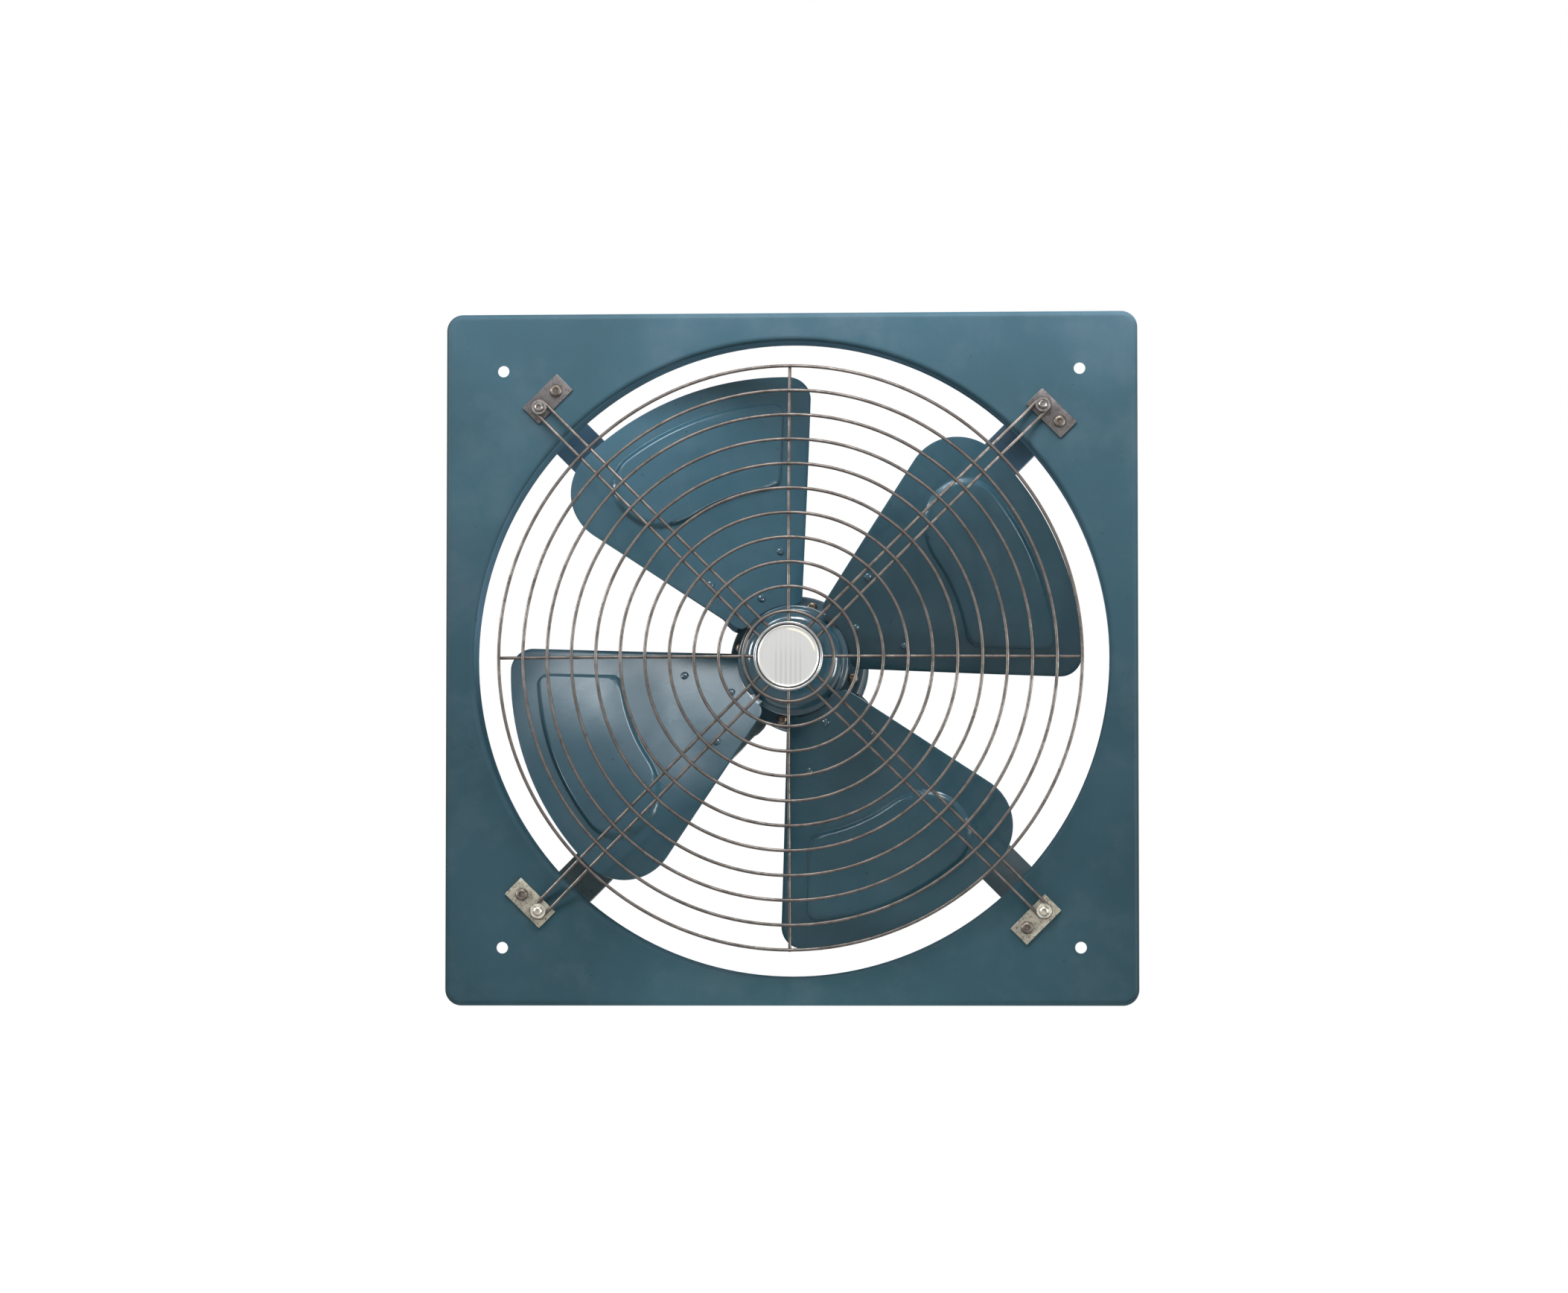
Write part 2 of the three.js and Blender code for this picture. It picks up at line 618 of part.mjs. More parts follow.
function blade() {
  const panelTop = TIP_RADIUS - PANEL_TIP_MARGIN;
  const front = [];
  const rear = [];
  for (const r of bladeRadii()) {
    const low = -edgeAngle(r, STRAIGHT_OVERHANG, STRAIGHT_CORNER, BLADE_SPAN, BLADE_ROOT_RADIUS, TIP_RADIUS);
    const high = edgeAngle(r, ROUND_OVERHANG, ROUND_CORNER, BLADE_SPAN, BLADE_ROOT_RADIUS, TIP_RADIUS);
    const clamped = THREE.MathUtils.clamp(r, PANEL_BOTTOM_RADIUS, panelTop);
    const start = -HALF_SPAN + Math.asin(PANEL_INSET / clamped);
    const end = -HALF_SPAN + THREE.MathUtils.degToRad(PANEL_END) - panelEnd(clamped) / clamped;
    const step = PANEL_STEP / clamped;
    const share = (r - PANEL_BOTTOM_RADIUS) / (panelTop - PANEL_BOTTOM_RADIUS);
    const inPanel = share >= -1e-9 && share <= 1 + 1e-9;
    const wanted = [low, start - step, start, ...[0.33, 0.67].map((s) => start + (end - start) * s)];
    wanted.push(end, end + step, high);
    const angles = wanted.map((a, j) => {
      if (j === 0 || j === wanted.length - 1) return a;
      const room = (high - low) * 0.04;
      return THREE.MathUtils.clamp(a, low + room * j, high - room * (wanted.length - 1 - j));
    });
    const raised = (j) => (inPanel && j >= 2 && j <= wanted.length - 3 ? PANEL_HEIGHT : 0);
    front.push(angles.map((a, j) => bladePoint(r, a, BLADE_SHEET / 2 + raised(j))));
    rear.push(angles.map((a, j) => bladePoint(r, a, -BLADE_SHEET / 2 + raised(j))));
  }
  return pressing(front, rear);
}

// One arm of the spider: it lies behind its blade and has the blade's twist
function spiderArm() {
  const inner = HUB_RADIUS - HUB_WALL / 2;
  const lift = -(BLADE_SHEET / 2 + SPIDER_SEAT + SPIDER_SHEET / 2);
  const corner = [1, 0.5, 0.15, 0].map((share) => SPIDER_TIP_RADIUS - SPIDER_CORNER * share);
  const radii = [inner, THREE.MathUtils.lerp(inner, corner[0], 0.5), ...corner];
  const face = (offset) =>
    radii.map((r) => {
      const edge = edgeAngle(r, 0, SPIDER_CORNER, SPIDER_SPAN, inner - ROOT_CORNER, SPIDER_TIP_RADIUS);
      return [-1, -0.5, 0, 0.5, 1].map((s) => bladePoint(r, s * edge, lift + offset));
    });
  return pressing(face(SPIDER_SHEET / 2), face(-SPIDER_SHEET / 2)).translate(0, IMPELLER_Y, 0);
}

function hubSpider() {
  const skirtBack = IMPELLER_Y + HUB_HALF_DEPTH;
  const bend = HUB_EDGE_BEND;
  const shell = revolve(
    [
      [SHAFT_BORE, HUB_FRONT],
      ...arcPoints(HUB_RADIUS - bend, HUB_FRONT + bend, bend, 270, 360, 2),
      [HUB_RADIUS, skirtBack],
      [HUB_RADIUS - HUB_WALL, skirtBack],
      ...arcPoints(HUB_RADIUS - bend, HUB_FRONT + bend, bend - HUB_WALL, 360, 270, 2),
      [HUB_BOSS_RADIUS, HUB_FRONT + HUB_WALL],
      [HUB_BOSS_RADIUS, HUB_BACK],
      [SHAFT_BORE, HUB_BACK],
    ],
    FACETS_MOTOR,
  );
  const angles = evenAngles(BLADE_COUNT, FIRST_BLADE_ANGLE);
  const joined = join(shell, ...angles.map((angle) => turned(spiderArm(), angle)));
  const keyway = new THREE.BoxGeometry(KEY_SIZE + 2 * SEAT, HUB_BACK - HUB_FRONT + 2 * PAST, KEY_TOP + SEAT);
  keyway.translate(0, (HUB_FRONT + HUB_BACK) / 2, (KEY_TOP + SEAT) / 2);
  return cut(joined, keyway);
}

add("hub_spider", hubSpider(), ENAMEL);
evenAngles(BLADE_COUNT, FIRST_BLADE_ANGLE).forEach((angle, i) => {
  add("blade_" + (i + 1), blade().translate(0, IMPELLER_Y, 0), ENAMEL, spoke(angle));
});

// ---- Shaft and what holds the hub on it --------------------------------------------------------------------

const WASHER_BACK = HUB_FRONT - SEAT;
const NUT_BACK = WASHER_BACK - SHAFT_WASHER_SHEET - SEAT;
const SHAFT_END = REAR_BEARING_Y + BEARING_WIDTH;

function shaft() {
  const shoulder = SHAFT_RADIUS + SHOULDER_STEP;
  const turnedBar = revolve(
    [
      [0, NUT_BACK - SHAFT_NUT_HEIGHT - SHAFT_TIP],
      [SHAFT_THREAD_RADIUS - EDGE_BREAK, NUT_BACK - SHAFT_NUT_HEIGHT - SHAFT_TIP],
      [SHAFT_THREAD_RADIUS, NUT_BACK - SHAFT_NUT_HEIGHT - SHAFT_TIP + EDGE_BREAK],
      [SHAFT_THREAD_RADIUS, HUB_FRONT],
      [SHAFT_RADIUS, HUB_FRONT],
      [SHAFT_RADIUS, HUB_BACK + SEAT],
      [shoulder, HUB_BACK + SEAT],
      [shoulder, FRONT_BEARING_Y - SEAT],
      [SHAFT_RADIUS, FRONT_BEARING_Y - SEAT],
      [SHAFT_RADIUS, SHAFT_END],
      [0, SHAFT_END],
    ],
    FACETS_SMALL,
  );
  const slot = new THREE.BoxGeometry(KEY_SIZE + 2 * SEAT, KEY_LENGTH + 2 * SEAT, KEY_SIZE);
  slot.translate(0, KEY_START + KEY_LENGTH / 2, KEY_FLOOR - SEAT + KEY_SIZE / 2);
  return cut(turnedBar, slot);
}

function shaftKey() {
  const key = new THREE.BoxGeometry(KEY_SIZE, KEY_LENGTH, KEY_TOP - KEY_FLOOR);
  return key.translate(0, KEY_START + KEY_LENGTH / 2, (KEY_FLOOR + KEY_TOP) / 2);
}

const THREAD_HOLE = SHAFT_THREAD_RADIUS + SEAT;
add("shaft", shaft(), BRIGHT_STEEL);
add("shaft_key", shaftKey(), BRIGHT_STEEL);
const hubWasher = ring(THREAD_HOLE, SHAFT_WASHER_RADIUS, WASHER_BACK - SHAFT_WASHER_SHEET, WASHER_BACK, FACETS_SMALL);
add("hub_washer", hubWasher, ZINC);
add("hub_nut", hexNut(SHAFT_NUT_FLATS, THREAD_HOLE, NUT_BACK - SHAFT_NUT_HEIGHT, NUT_BACK), ZINC);

// ---- Ball bearings -----------------------------------------------------------------------------------------

// The balls in their cage, which turns between the two races
function ballSet(start) {
  const middle = start + BEARING_WIDTH / 2;
  const half = CAGE_WALL / 2;
  const [from, to] = [middle - CAGE_WIDTH / 2, middle + CAGE_WIDTH / 2];
  const band = turned(ring(BALL_CIRCLE - half, BALL_CIRCLE + half, from, to, BALL_COUNT), 180 / BALL_COUNT);
  const ball = new THREE.IcosahedronGeometry(BALL_RADIUS).translate(BALL_CIRCLE, middle, 0);
  return join(band, ...evenAngles(BALL_COUNT, 0).map((angle) => turned(ball, angle)));
}

for (const [place, start] of [["front", FRONT_BEARING_Y], ["rear", REAR_BEARING_Y]]) {
  const end = start + BEARING_WIDTH;
  add(place + "_outer_race", ring(OUTER_RACE_BORE, OUTER_RACE_RADIUS, start, end, FACETS_MOTOR), BRIGHT_STEEL);
  add(place + "_inner_race", ring(SHAFT_BORE, INNER_RACE_RADIUS, start, end, FACETS_SMALL), BRIGHT_STEEL);
  add(place + "_ball_set", ballSet(start), BRIGHT_STEEL);
}

// ---- Motor -------------------------------------------------------------------------------------------------

const throughBoltAngles = evenAngles(4, FIRST_THROUGH_BOLT_ANGLE);

function throughHoles(start, end) {
  const hole = drill(THROUGH_HOLE_RADIUS, start, end).translate(THROUGH_BOLT_AT, 0, 0);
  return throughBoltAngles.map((angle) => turned(hole, angle));
}

function frontCover() {
  const bell = revolve(
    [
      [SHAFT_HOLE_RADIUS, COVER_FRONT - HOUSING_REACH],
      [POCKET_RADIUS + HOUSING_WALL - EDGE_BREAK, COVER_FRONT - HOUSING_REACH],
      [POCKET_RADIUS + HOUSING_WALL, COVER_FRONT - HOUSING_REACH + EDGE_BREAK],
      [POCKET_RADIUS + HOUSING_WALL, COVER_FRONT - COVER_STEP],
      [COVER_STEP_RADIUS - COVER_STEP / 2, COVER_FRONT - COVER_STEP],
      [COVER_STEP_RADIUS, COVER_FRONT],
      [MOTOR_RADIUS - EDGE_BREAK, COVER_FRONT],
      [MOTOR_RADIUS, COVER_FRONT + EDGE_BREAK],
      [MOTOR_RADIUS, COVER_FRONT + COVER_DEPTH],
      [SHELL_BORE, COVER_FRONT + COVER_DEPTH],
      [SHELL_BORE, COVER_FRONT + COVER_WALL],
      [POCKET_RADIUS + HOUSING_WALL, COVER_FRONT + COVER_WALL],
      [POCKET_RADIUS + HOUSING_WALL, FRONT_BEARING_Y + BEARING_WIDTH],
      [POCKET_RADIUS, FRONT_BEARING_Y + BEARING_WIDTH],
      [POCKET_RADIUS, FRONT_BEARING_Y - SEAT],
      [SHAFT_HOLE_RADIUS, FRONT_BEARING_Y - SEAT],
    ],
    FACETS_MOTOR,
  );
  const earEnd = ARM_BOLT_AT + ARM_END_MARGIN;
  const outline = roundedRectangle(SHELL_BORE - PAST, earEnd, -ARM_WIDTH / 2, ARM_WIDTH / 2, ARM_END_ROUND);
  const ear = sheet(outline, COVER_FRONT, COVER_FRONT + EAR_THICKNESS, 2);
  const earBack = COVER_FRONT + EAR_THICKNESS + PAST;
  const boltHole = drill(ARM_BOLT_RADIUS + HOLE_CLEARANCE, COVER_FRONT - PAST, earBack);
  const ears = cornerAngles.map((angle) => turned(ear, angle));
  boltHole.translate(ARM_BOLT_AT, 0, ARM_BOLT_ASIDE);
  const boltHoles = cornerAngles.map((angle) => turned(boltHole, angle));
  const inside = bar(SHELL_BORE, COVER_FRONT + COVER_WALL, earBack, FACETS_MOTOR);
  const trimmedEars = ears.map((one) => cut(one, inside));
  const bolts = throughHoles(COVER_FRONT - PAST, COVER_FRONT + COVER_WALL + PAST);
  return cut(join(bell, ...trimmedEars), ...boltHoles, ...bolts);
}

function rearCover() {
  const inside = COVER_BACK - COVER_WALL;
  const bell = revolve(
    [
      [0, inside],
      [POCKET_RADIUS, inside],
      [POCKET_RADIUS, REAR_BEARING_Y],
      [POCKET_RADIUS + HOUSING_WALL, REAR_BEARING_Y],
      [POCKET_RADIUS + HOUSING_WALL, inside],
      [SHELL_BORE, inside],
      [SHELL_BORE, COVER_BACK - COVER_DEPTH],
      [MOTOR_RADIUS, COVER_BACK - COVER_DEPTH],
      [MOTOR_RADIUS, COVER_BACK - COVER_CHAMFER],
      [MOTOR_RADIUS - COVER_CHAMFER, COVER_BACK],
      [0, COVER_BACK],
    ],
    FACETS_MOTOR,
  );
  const bossRadius = THROUGH_HOLE_RADIUS + THROUGH_BOLT_EDGE;
  const boss = bar(bossRadius, inside - THROUGH_BOSS_LENGTH, inside + PAST);
  const bosses = throughBoltAngles.map((angle) => turned(boss.clone().translate(THROUGH_BOLT_AT, 0, 0), angle));
  return cut(join(bell, ...bosses), ...throughHoles(COVER_BACK - COVER_DEPTH - PAST, inside));
}

// A through bolt: its washer head lies on the front cover, its shank ends in the rear cover's boss
function throughBolt() {
  const headBack = COVER_FRONT - SEAT;
  return revolve(
    [
      [0, headBack - THROUGH_BOLT_HEAD_HEIGHT],
      [THROUGH_BOLT_HEAD - HEAD_CHAMFER, headBack - THROUGH_BOLT_HEAD_HEIGHT],
      [THROUGH_BOLT_HEAD, headBack - THROUGH_BOLT_HEAD_HEIGHT + HEAD_CHAMFER],
      [THROUGH_BOLT_HEAD, headBack],
      [THROUGH_BOLT_RADIUS, headBack],
      [THROUGH_BOLT_RADIUS, COVER_BACK - COVER_WALL - SEAT],
      [0, COVER_BACK - COVER_WALL - SEAT],
    ],
    FACETS_SCREW,
  ).translate(THROUGH_BOLT_AT, 0, 0);
}

function winding(start, end) {
  const inner = CORE_BORE + WINDING_CORE_MARGIN;
  const outer = THROUGH_BOLT_AT - THROUGH_HOLE_RADIUS - THROUGH_BOLT_EDGE - SEAT;
  const round = Math.min((outer - inner) / 3, (end - start) / 3);
  return revolve(
    [
      ...arcPoints(outer - round, start + round, round, 270, 360, 1),
      ...arcPoints(outer - round, end - round, round, 0, 90, 1),
      ...arcPoints(inner + round, end - round, round, 90, 180, 1),
      ...arcPoints(inner + round, start + round, round, 180, 270, 1),
    ],
    FACETS_SMALL,
  );
}

add("motor_front_cover", frontCover(), CAST_ALUMINIUM);
add("motor_shell", ring(SHELL_BORE, MOTOR_RADIUS, SHELL_START, SHELL_END, FACETS_MOTOR), ENAMEL);
add("motor_rear_cover", rearCover(), CAST_ALUMINIUM);
throughBoltAngles.forEach((angle, i) => add("through_bolt_" + (i + 1), throughBolt(), ZINC, spoke(angle)));

const core = ring(CORE_BORE, CORE_RADIUS, CORE_START, CORE_END, FACETS_MOTOR);
add("stator_core", cut(core, ...throughHoles(CORE_START - PAST, CORE_END + PAST)), LAMINATION);
add("front_winding", winding(CORE_START - WINDING_LENGTH, CORE_START - SEAT), COPPER);
add("rear_winding", winding(CORE_END + SEAT, CORE_END + WINDING_LENGTH), COPPER);
add("rotor_core", ring(SHAFT_BORE, ROTOR_RADIUS, CORE_START, CORE_END, FACETS_SMALL), LAMINATION);

// ---- Motor arms --------------------------------------------------------------------------------------------

// A strip that lies on the cover's ear, runs out behind the blades, and turns forward to its foot on the plate
function motorArm() {
  const half = ARM_SHEET / 2;
  const line = [
    [ARM_START, ARM_FRONT + half],
    [LEG_AT + half, ARM_FRONT + half],
    [LEG_AT + half, FOOT_BACK - half],
    [FOOT_END, FOOT_BACK - half],
  ];
  const strip = acrossZ(bentStrip(line, ARM_SHEET, ARM_BEND), ARM_WIDTH);
  const flangeStart = ARM_BOLT_AT + ARM_END_MARGIN + SEAT;
  const flangeEnd = LEG_AT - ARM_BEND;
  const flangeShape = new THREE.Shape([
    new THREE.Vector2(flangeStart, ARM_FRONT + half),
    new THREE.Vector2(flangeEnd, ARM_FRONT + half),
    new THREE.Vector2(flangeEnd - ARM_FLANGE, ARM_FRONT + ARM_FLANGE),
    new THREE.Vector2(flangeStart + ARM_FLANGE, ARM_FRONT + ARM_FLANGE),
  ]);
  const flange = acrossZ(flangeShape, ARM_SHEET);
  const beside = ARM_WIDTH / 2 - half;
  const channel = join(strip, flange.clone().translate(0, 0, beside), flange.clone().translate(0, 0, -beside));
  const boltHole = drill(ARM_BOLT_RADIUS + HOLE_CLEARANCE, ARM_FRONT - PAST, COVER_FRONT);
  const footHole = drill(CLIP_SCREW_RADIUS + HOLE_CLEARANCE, PLATE_BACK, FOOT_BACK + PAST);
  const notch = footHole.clone().translate(CLIP_AT, 0, -CLIP_SCREW_SPACING);
  boltHole.translate(ARM_BOLT_AT, 0, ARM_BOLT_ASIDE);
  footHole.translate(CLIP_AT, 0, 0);
  return cut(channel, boltHole, footHole, notch);
}

// The bolt that holds the arm to the ear
function armBolt() {
  const headBack = ARM_FRONT - SEAT;
  return revolve(
    [
      [0, headBack - ARM_BOLT_HEAD_HEIGHT],
      [ARM_BOLT_HEAD - HEAD_CHAMFER, headBack - ARM_BOLT_HEAD_HEIGHT],
      [ARM_BOLT_HEAD, headBack - ARM_BOLT_HEAD_HEIGHT + HEAD_CHAMFER],
      [ARM_BOLT_HEAD, headBack],
      [ARM_BOLT_RADIUS, headBack],
      [ARM_BOLT_RADIUS, COVER_FRONT + EAR_THICKNESS + BOLT_END],
      [0, COVER_FRONT + EAR_THICKNESS + BOLT_END],
    ],
    FACETS_SCREW,
  ).translate(ARM_BOLT_AT, 0, ARM_BOLT_ASIDE);
}

// ---- Wire guard --------------------------------------------------------------------------------------------

// The place of a spoke's centre line along the shaft: a shallow dish, then down to the plate
function spokeY(r) {
  const top = PLATE_FRONT - GUARD_STAND_OFF;
  if (r <= OUTER_RING_RADIUS) return top + GUARD_DISH * (r / OUTER_RING_RADIUS) ** 2;
  const share = Math.min((r - OUTER_RING_RADIUS) / (SPOKE_LANDING - OUTER_RING_RADIUS), 1);
  return THREE.MathUtils.lerp(top + GUARD_DISH, SPOKE_REST, share);
}

// A spoke's points from the boss to a radius, beside the line that it follows
function spokePoints(end, beside) {
  const radii = [SPOKE_START];
  for (let i = 1; i < RING_COUNT; i += 3) radii.push(FIRST_RING_RADIUS + i * RING_PITCH);
  radii.push(end);
  return radii.map((r) => new THREE.Vector3(r, spokeY(r), beside));
}

// A double spoke: out along one side, round the screw, and back along the other
function hairpin() {
  const half = HAIRPIN_GAP / 2;
  const out = [...spokePoints(OUTER_RING_RADIUS, -half), new THREE.Vector3(SPOKE_LANDING, SPOKE_REST, -half)];
  const bend = arcPoints(CLIP_AT, 0, half, -90, 90, 4).map(([x, z]) => new THREE.Vector3(x, SPOKE_REST, z));
  const back = out.map((p) => new THREE.Vector3(p.x, p.y, -p.z)).reverse();
  return wire([...out, ...bend, ...back]);
}

function guardRing(i) {
  const radius = FIRST_RING_RADIUS + i * RING_PITCH;
  const y = spokeY(radius) - 2 * WIRE_RADIUS + WELD_SINK;
  const sides = 4;
  const section = Array.from({ length: sides }, (_, k) => {
    const a = (2 * Math.PI * k) / sides - Math.PI / 2;
    return [radius + WIRE_RADIUS * Math.cos(a), y + WIRE_RADIUS * Math.sin(a)];
  });
  const quarter = Math.round((Math.PI * radius) / 2 / RING_FACET_LENGTH);
  const facets = Math.max(FACETS_SMALL, 4 * quarter);
  return turned(revolve(section, facets), 180 / facets);
}

function wireGuard() {
  const rings = Array.from({ length: RING_COUNT }, (_, i) => guardRing(i));
  const single = wire(spokePoints(OUTER_RING_RADIUS + WIRE_RADIUS / 2, 0));
  const singles = evenAngles(CORNER_COUNT, 0).map((angle) => turned(single, angle));
  const doubles = cornerAngles.map((angle) => turned(hairpin(), angle));
  return join(...rings, ...singles, ...doubles);
}

add("wire_guard", wireGuard(), WIRE_STEEL);

// The pressed dish at the guard's centre, with a rolled rim
function guardBoss() {
  const front = BOSS_BACK - BOSS_RIM_HEIGHT;
  const half = BOSS_RIM_WIDTH / 2;
  return revolve(
    [
      [0, BOSS_BACK],
      [BOSS_RADIUS - half, BOSS_BACK],
      [BOSS_RADIUS, BOSS_BACK - half],
      ...arcPoints(BOSS_RADIUS - half, front + half, half, 0, -180, 3),
      [BOSS_RADIUS - BOSS_RIM_WIDTH, BOSS_BACK - BOSS_SHEET],
      [0, BOSS_BACK - BOSS_SHEET],
    ],
    FACETS_ROUND,
  );
}

function bossDisc() {
  const back = BOSS_BACK - BOSS_SHEET - SEAT;
  const front = back - DISC_SHEET;
  return revolve(
    [
      [0, back],
      [DISC_RADIUS, back],
      [DISC_RADIUS, front - DISC_EDGE_HEIGHT / 2],
      [DISC_RADIUS - DISC_EDGE_WIDTH / 2, front - DISC_EDGE_HEIGHT],
      [DISC_RADIUS - DISC_EDGE_WIDTH, front],
      [0, front],
    ],
    FACETS_ROUND,
  );
}

add("guard_boss", guardBoss(), BRIGHT_STEEL);
add("boss_disc", bossDisc(), BRIGHT_STEEL);

// ---- Corner fastenings: clip, its two screws, and the nut behind the arm's foot ----------------------------

// A flat strip on the plate, under the hairpin's end
function clip() {
  const margin = (CLIP_LENGTH - CLIP_SCREW_SPACING) / 2;
  const near = CLIP_AT - CLIP_WIDTH / 2;
  const outline = roundedRectangle(near, near + CLIP_WIDTH, -CLIP_SCREW_SPACING - margin, margin, CLIP_CORNER);
  const hole = drill(CLIP_SCREW_RADIUS + HOLE_CLEARANCE, CLIP_FRONT - PAST, CLIP_BACK + PAST);
  return cut(
    sheet(outline, CLIP_FRONT, CLIP_BACK, 1),
    hole.clone().translate(CLIP_AT, 0, 0),
    hole.clone().translate(CLIP_AT, 0, -CLIP_SCREW_SPACING),
  );
}

// The screw inside the hairpin's turn: its head and washer press the wire on the clip, and its shank runs through
// plate, foot and nut
function inlineScrew() {
  const washerBack = SPOKE_REST - WIRE_RADIUS - SEAT;
  const washerFront = washerBack - CLIP_WASHER_SHEET;
  const end = FOOT_BACK + SEAT + FOOT_NUT_HEIGHT + BOLT_END;
  return revolve(
    [
      [0, washerFront - CLIP_SCREW_HEAD_HEIGHT],
      [CLIP_SCREW_HEAD - HEAD_CHAMFER, washerFront - CLIP_SCREW_HEAD_HEIGHT],
      [CLIP_SCREW_HEAD, washerFront],
      [CLIP_WASHER_RADIUS, washerFront],
      [CLIP_WASHER_RADIUS, washerBack],
      [CLIP_SCREW_RADIUS, washerBack],
      [CLIP_SCREW_RADIUS, end],
      [0, end],
    ],
    FACETS_SCREW,
  ).translate(CLIP_AT, 0, 0);
}

// The clip's other screw: a low head on the clip, its shank tapped into the plate
function sideScrew() {
  const back = CLIP_FRONT - SEAT;
  return revolve(
    [
      [0, back - CLIP_SCREW_HEAD_HEIGHT],
      [SIDE_SCREW_HEAD - HEAD_CHAMFER, back - CLIP_SCREW_HEAD_HEIGHT],
      [SIDE_SCREW_HEAD, back],
      [CLIP_SCREW_RADIUS, back],
      [CLIP_SCREW_RADIUS, PLATE_BACK + SIDE_SCREW_REACH - BOLT_END],
      [0, PLATE_BACK + SIDE_SCREW_REACH],
    ],
    FACETS_SCREW,
  ).translate(CLIP_AT, 0, -CLIP_SCREW_SPACING);
}

function footNut() {
  const start = FOOT_BACK + SEAT;
  const nut = hexNut(FOOT_NUT_FLATS, CLIP_SCREW_RADIUS + SEAT, start, start + FOOT_NUT_HEIGHT);
  return nut.translate(CLIP_AT, 0, 0);
}

cornerAngles.forEach((angle, i) => {
  const corner = spoke(angle);
  const name = CORNER_NAMES[i];
  add("motor_arm_" + name, motorArm(), ENAMEL, corner);
  add("arm_bolt_" + name, armBolt(), ZINC, corner);
  add("guard_clip_" + name, clip(), ZINC, corner);
  add("clip_screw_" + name, inlineScrew(), ZINC, corner);
  add("side_screw_" + name, sideScrew(), ZINC, corner);
  add("foot_nut_" + name, footNut(), ZINC, corner);
});

// ---- Capacitor box on the rear cover -----------------------------------------------------------------------

const BOX_START = COVER_BACK + SEAT;
const BOX_END = BOX_START + BOX_DEPTH;

function boxOutline(inset) {
  const [x, z] = [BOX_LENGTH / 2 - inset, BOX_HEIGHT / 2 - inset];
  return roundedRectangle(-x, x, -z, z, BOX_CORNER - inset);
}

// A round bar along Z
function uprightBar(radius, low, high, segments = FACETS_SMALL) {
  return bar(radius, low, high, segments).rotateX(Math.PI / 2);
}

function capacitorBox() {
  const outside = sheet(boxOutline(0), BOX_START, BOX_END, 2);
  const inside = sheet(boxOutline(BOX_WALL), BOX_START + BOX_WALL, BOX_END + PAST, 2);
  const z = -BOX_HEIGHT / 2;
  const inlet = drill(GLAND_THREAD_RADIUS + HOLE_CLEARANCE, z - PAST, z + BOX_WALL + PAST, FACETS_SMALL);
  return cut(outside, inside, inlet.rotateX(Math.PI / 2).translate(GLAND_AT_X, (BOX_START + BOX_END) / 2, 0));
}

function boxLid() {
  const top = sheet(boxOutline(0), BOX_END + SEAT, BOX_END + SEAT + LID_SHEET, 2);
  const lip = sheet(boxOutline(BOX_WALL + SEAT), BOX_END - LID_LIP, BOX_END + SEAT + LID_SHEET / 2, 2);
  const recess = sheet(boxOutline(2 * BOX_WALL + SEAT), BOX_END - LID_LIP - PAST, BOX_END + SEAT, 2);
  return cut(join(top, lip), recess);
}

// A cylinder on the box's floor, with its two tabs at one end
function capacitor() {
  const y = BOX_START + BOX_WALL + SEAT + CAPACITOR_RADIUS;
  const can = bar(CAPACITOR_RADIUS, -CAPACITOR_LENGTH / 2, CAPACITOR_LENGTH / 2, FACETS_SMALL).rotateZ(Math.PI / 2);
  const tab = new THREE.BoxGeometry(2 * TAB_LENGTH, TAB_SHEET, TAB_WIDTH).translate(CAPACITOR_LENGTH / 2, 0, 0);
  const tabs = [-TAB_SPACING / 2, TAB_SPACING / 2].map((offset) => tab.clone().translate(0, offset, 0));
  return join(can, ...tabs).translate(0, y, BOX_HEIGHT / 2 - BOX_WALL - SEAT - CAPACITOR_RADIUS);
}

// The inlet for the supply cable: a threaded neck in the box's wall, a flange and a six-sided cap with a bore
function cableGland() {
  const wall = -BOX_HEIGHT / 2;
  const end = wall - GLAND_REACH;
  const neck = uprightBar(GLAND_THREAD_RADIUS, wall - GLAND_FLANGE, wall + BOX_WALL + GLAND_NECK);
  const flange = uprightBar(GLAND_NUT_FLATS / 2, wall - SEAT - GLAND_FLANGE, wall - SEAT);
  const cap = uprightBar(hexCorner(GLAND_NUT_FLATS), end + GLAND_FLANGE, wall - SEAT - GLAND_FLANGE / 2, 6);
  const mouth = uprightBar(GLAND_THREAD_RADIUS, end, end + GLAND_FLANGE + PAST);
  const bore = uprightBar(GLAND_BORE_RADIUS, end - PAST, wall + BOX_WALL + GLAND_NECK + PAST);
  return cut(join(neck, flange, cap, mouth), bore).translate(GLAND_AT_X, (BOX_START + BOX_END) / 2, 0);
}

add("capacitor_box", capacitorBox(), BLACK_PLASTIC);
add("capacitor_box_lid", boxLid(), BLACK_PLASTIC);
add("capacitor", capacitor(), BRIGHT_STEEL);
add("cable_gland", cableGland(), BLACK_PLASTIC);

export default root;
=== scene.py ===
import math

